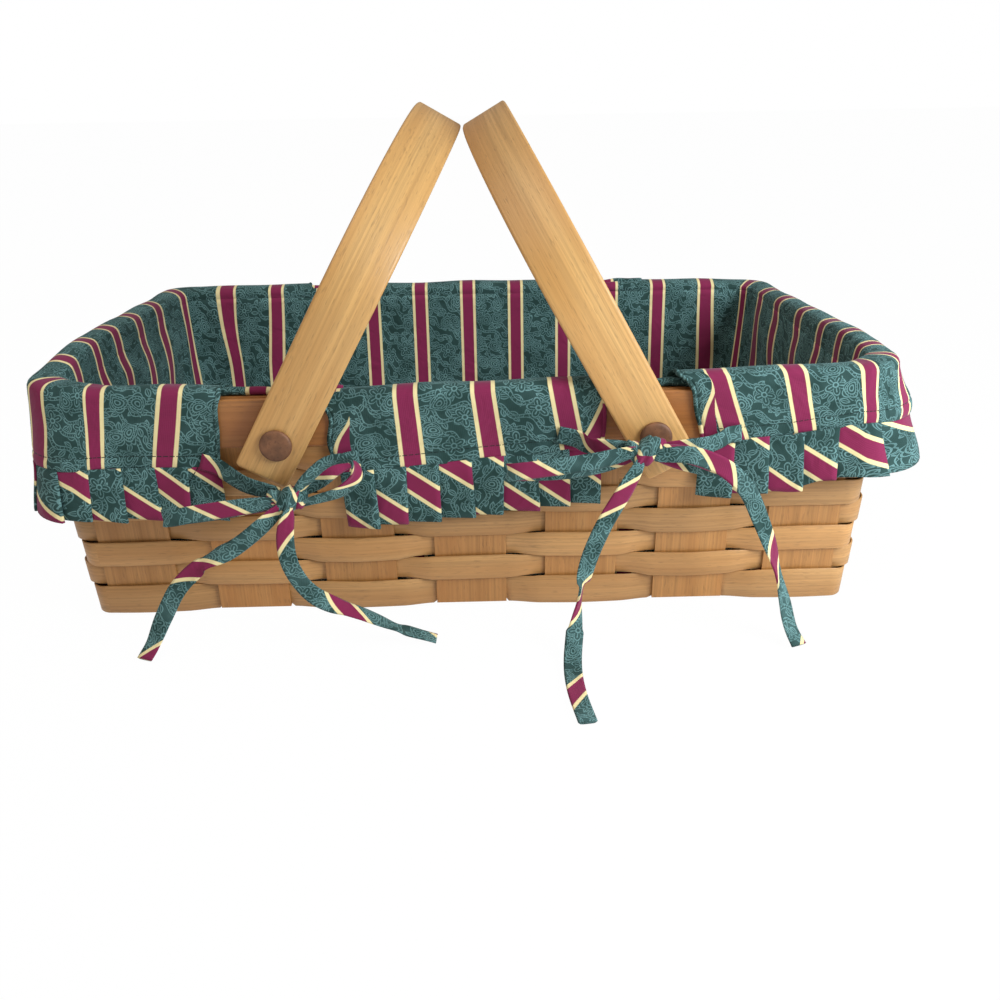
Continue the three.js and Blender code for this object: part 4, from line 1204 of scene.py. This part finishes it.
def knot_parts(centre):
    """A tight turn of the tie over its two gathered ends."""
    turn = np.linspace(0, 2 * math.pi, 41)[:, None]
    x = np.sin(np.linspace(-1, 1, 25) * math.pi / 2)[None]
    barrel = np.maximum(1 - np.abs(x) ** 2.8, 0) ** 0.5
    crease = 0.06 * np.sin(x * 6 + 2 * turn) + 0.03 * np.sin(x * 13 - turn)
    crease = barrel * (1 + crease * barrel)
    parts = []
    for aside, reach, across, twist in (
        ((0.4, -0.8, -0.4), (6.6, 8.0), 6.2, 0.38),
        ((-5.4, 0.6, -0.6), (5.2, 5.6), 4.8, -0.3),
        ((5.6, 0.4, 0.2), (5.2, 6.0), 5.0, 0.2),
    ):
        y, z = reach[0] * np.cos(turn) * crease, reach[1] * np.sin(turn) * crease
        middle = np.array(centre) + aside
        grid = np.stack([middle[0] + across * x + twist * z, middle[1] - y, middle[2] + z], -1)
        u = turn * 5 + x * 6 + centre[0] * 3 + aside[0] * 4
        uv = np.stack([u, np.broadcast_to(x * 7 + KNOT_PRINT, u.shape)], -1)
        parts.append(loft(grid[:, ::-1], uv[:, ::-1]))
    return parts


class BASKET_OT_bows(Operator):
    """Tie the four bows under the handles"""

    bl_idname = "basket.bows"
    bl_label = "Bows"

    def execute(self, context):
        width = mm(cloth_settings().tie_width)
        cotton = printed_cotton("printed cotton tie", 0.25)
        cloth, cut_apart = 0.0, 47.3
        # The back's bows are the front's, turned half round
        for view, turn, names in (("front", 1, ("left", "right")), ("back", -1, ("right", "left"))):
            half_turn = np.diag([turn, turn, 1.0])
            for (centre, strands), side in zip(BOWS, names):
                name = f"{view}_{side}"
                knot = knot_parts(centre)
                for strand_name, strand in strands.items():
                    kind = strand_name.split("_")[0]
                    count = {"lead": 28, "loop": 64, "tail": 76}[kind]
                    (points, faces, uv), path = ribbon(strand, kind, count, cloth)
                    cloth += cut_apart
                    if kind == "lead":
                        knot.append((points, faces, uv))
                        continue
                    path = path @ half_turn * MM
                    strip = [(points @ half_turn, faces, uv)]
                    end = f"{name}_{strand_name}"
                    piece = make_piece(f"tie_{end}", strip, cotton, "tie_cotton", "basket", f"bow_{end}")
                    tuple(path[0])
                    float(run_length(path)[-1])
                knot = [(points @ half_turn, faces, uv) for points, faces, uv in knot]
                weld(make_piece(f"tie_{name}_knot", knot, cotton, "tie_cotton", "basket", f"bow_{name}_knot"))
        return {"FINISHED"}


class BASKET_OT_stage(Operator):
    """Set the pale floor, the soft light and the camera"""

    bl_idname = "basket.stage"
    bl_label = "Stage"

    def execute(self, context):
        scene = context.scene
        light = scene.studio_light
        # White paper floor: it takes a faint shadow, and is white to the camera in the open
        paper = new_material("white paper floor")
        path = add(paper, "LightPath")
        sheet = add(paper, "BsdfDiffuse", [list(light.floor)])
        white = add(paper, "Emission", [(1, 1, 1, 1), 1.0])
        seen = add(paper, "Math MAXIMUM", [path.outputs["Is Camera Ray"], path.outputs["Is Glossy Ray"]])
        share = add(paper, "Math MULTIPLY", [seen, light.floor_glow])
        add(paper, "OutputMaterial", [add(paper, "MixShader", [share, sheet, white])])
        mesh = bpy.data.meshes.new("floor")
        reach, level = 6.0, -0.0004
        corners = [(reach * x, reach * y, level) for x, y in ((-1, -1), (1, -1), (1, 1), (-1, 1))]
        mesh.from_pydata(corners, [], [(0, 1, 2, 3)])
        mesh.materials.append(paper)
        floor = bpy.data.objects.new("floor", mesh)
        scene.collection.objects.link(floor)

        world = scene.world = bpy.data.worlds.new("even studio light")
        world.use_nodes = True
        world.node_tree.nodes.clear()
        ray = add(world, "LightPath")
        even = add(world, "Background", [(1.0, 0.99, 0.97, 1), light.ambient])
        plain = add(world, "Background", [(1, 1, 1, 1), 1.0])
        add(world, "OutputWorld", [add(world, "MixShader", [ray.outputs["Is Camera Ray"], even, plain])])

        aim = np.array((0, 0, 0.1))
        for name, power, size, place, tint in (
            ("soft key", light.key_power, 0.42, (0.6, -0.48, 0.44), (0.86, 0.95, 1.0)),
            ("soft fill", light.fill_power, 1.4, (-0.55, -0.35, 1.35), (1.0, 0.97, 0.92)),
        ):
            lamp = bpy.data.lights.new(name, "AREA")
            lamp.energy, lamp.size, lamp.shape = power, size, "DISK"
            lamp.color = tint
            holder = bpy.data.objects.new(name, lamp)
            scene.collection.objects.link(holder)
            holder.location = place
            way = aim - place
            tilt = math.acos(-way[2] / np.linalg.norm(way))
            holder.rotation_euler = (tilt, 0, math.atan2(way[1], way[0]) - math.pi / 2)

        camera = bpy.data.cameras.new("photo camera")
        camera.sensor_width = 36
        camera.lens = 36.19
        camera.clip_start = 0.01
        holder = scene.camera = bpy.data.objects.new("photo camera", camera)
        scene.collection.objects.link(holder)
        holder.location = (0.00956, -0.6384, 0.2858)
        holder.rotation_euler = [math.radians(angle) for angle in (66.6013, 0.8832, -1.2386)]
        scene.view_settings.view_transform = "Standard"
        return {"FINISHED"}


class BASKET_PT_pieces(Panel):
    """Lists the basket's pieces and what can be changed on them"""

    bl_idname = "BASKET_PT_pieces"
    bl_label = "Gathering basket"
    bl_space_type = "VIEW_3D"
    bl_region_type = "UI"
    bl_category = "Basket"

    def draw(self, context):
        for name, cls in GROUPS.items():
            box = self.layout.box()
            for setting in cls.__annotations__:
                box.prop(getattr(context.scene, name), setting)
        for operator in OPERATORS:
            self.layout.operator(operator.bl_idname)


OPERATORS = (
    BASKET_OT_stage,
    BASKET_OT_splints,
    BASKET_OT_weavers,
    BASKET_OT_rim,
    BASKET_OT_handles,
    BASKET_OT_pegs,
    BASKET_OT_liner_bag,
    BASKET_OT_flaps,
    BASKET_OT_ruffles,
    BASKET_OT_bows,
)
GROUPS = {
    "basket_sizes": BasketSizes,
    "wood_colours": WoodColours,
    "liner_cloth": LinerCloth,
    "studio_light": StudioLight,
}


def register():
    for cls in (*GROUPS.values(), *OPERATORS, BASKET_PT_pieces):
        bpy.utils.register_class(cls)
    for name, cls in GROUPS.items():
        setattr(bpy.types.Scene, name, PointerProperty(type=cls))


def unregister():
    for name in GROUPS:
        delattr(bpy.types.Scene, name)
    for cls in reversed((*GROUPS.values(), *OPERATORS, BASKET_PT_pieces)):
        bpy.utils.unregister_class(cls)


def main():
    register()
    bpy.ops.basket.stage()
    bpy.ops.basket.splints()
    bpy.ops.basket.weavers()
    bpy.ops.basket.rim()
    bpy.ops.basket.handles()
    bpy.ops.basket.pegs()
    bpy.ops.basket.liner_bag()
    bpy.ops.basket.flaps()
    bpy.ops.basket.ruffles()
    bpy.ops.basket.bows()


if __name__ == "__main__":
    main()
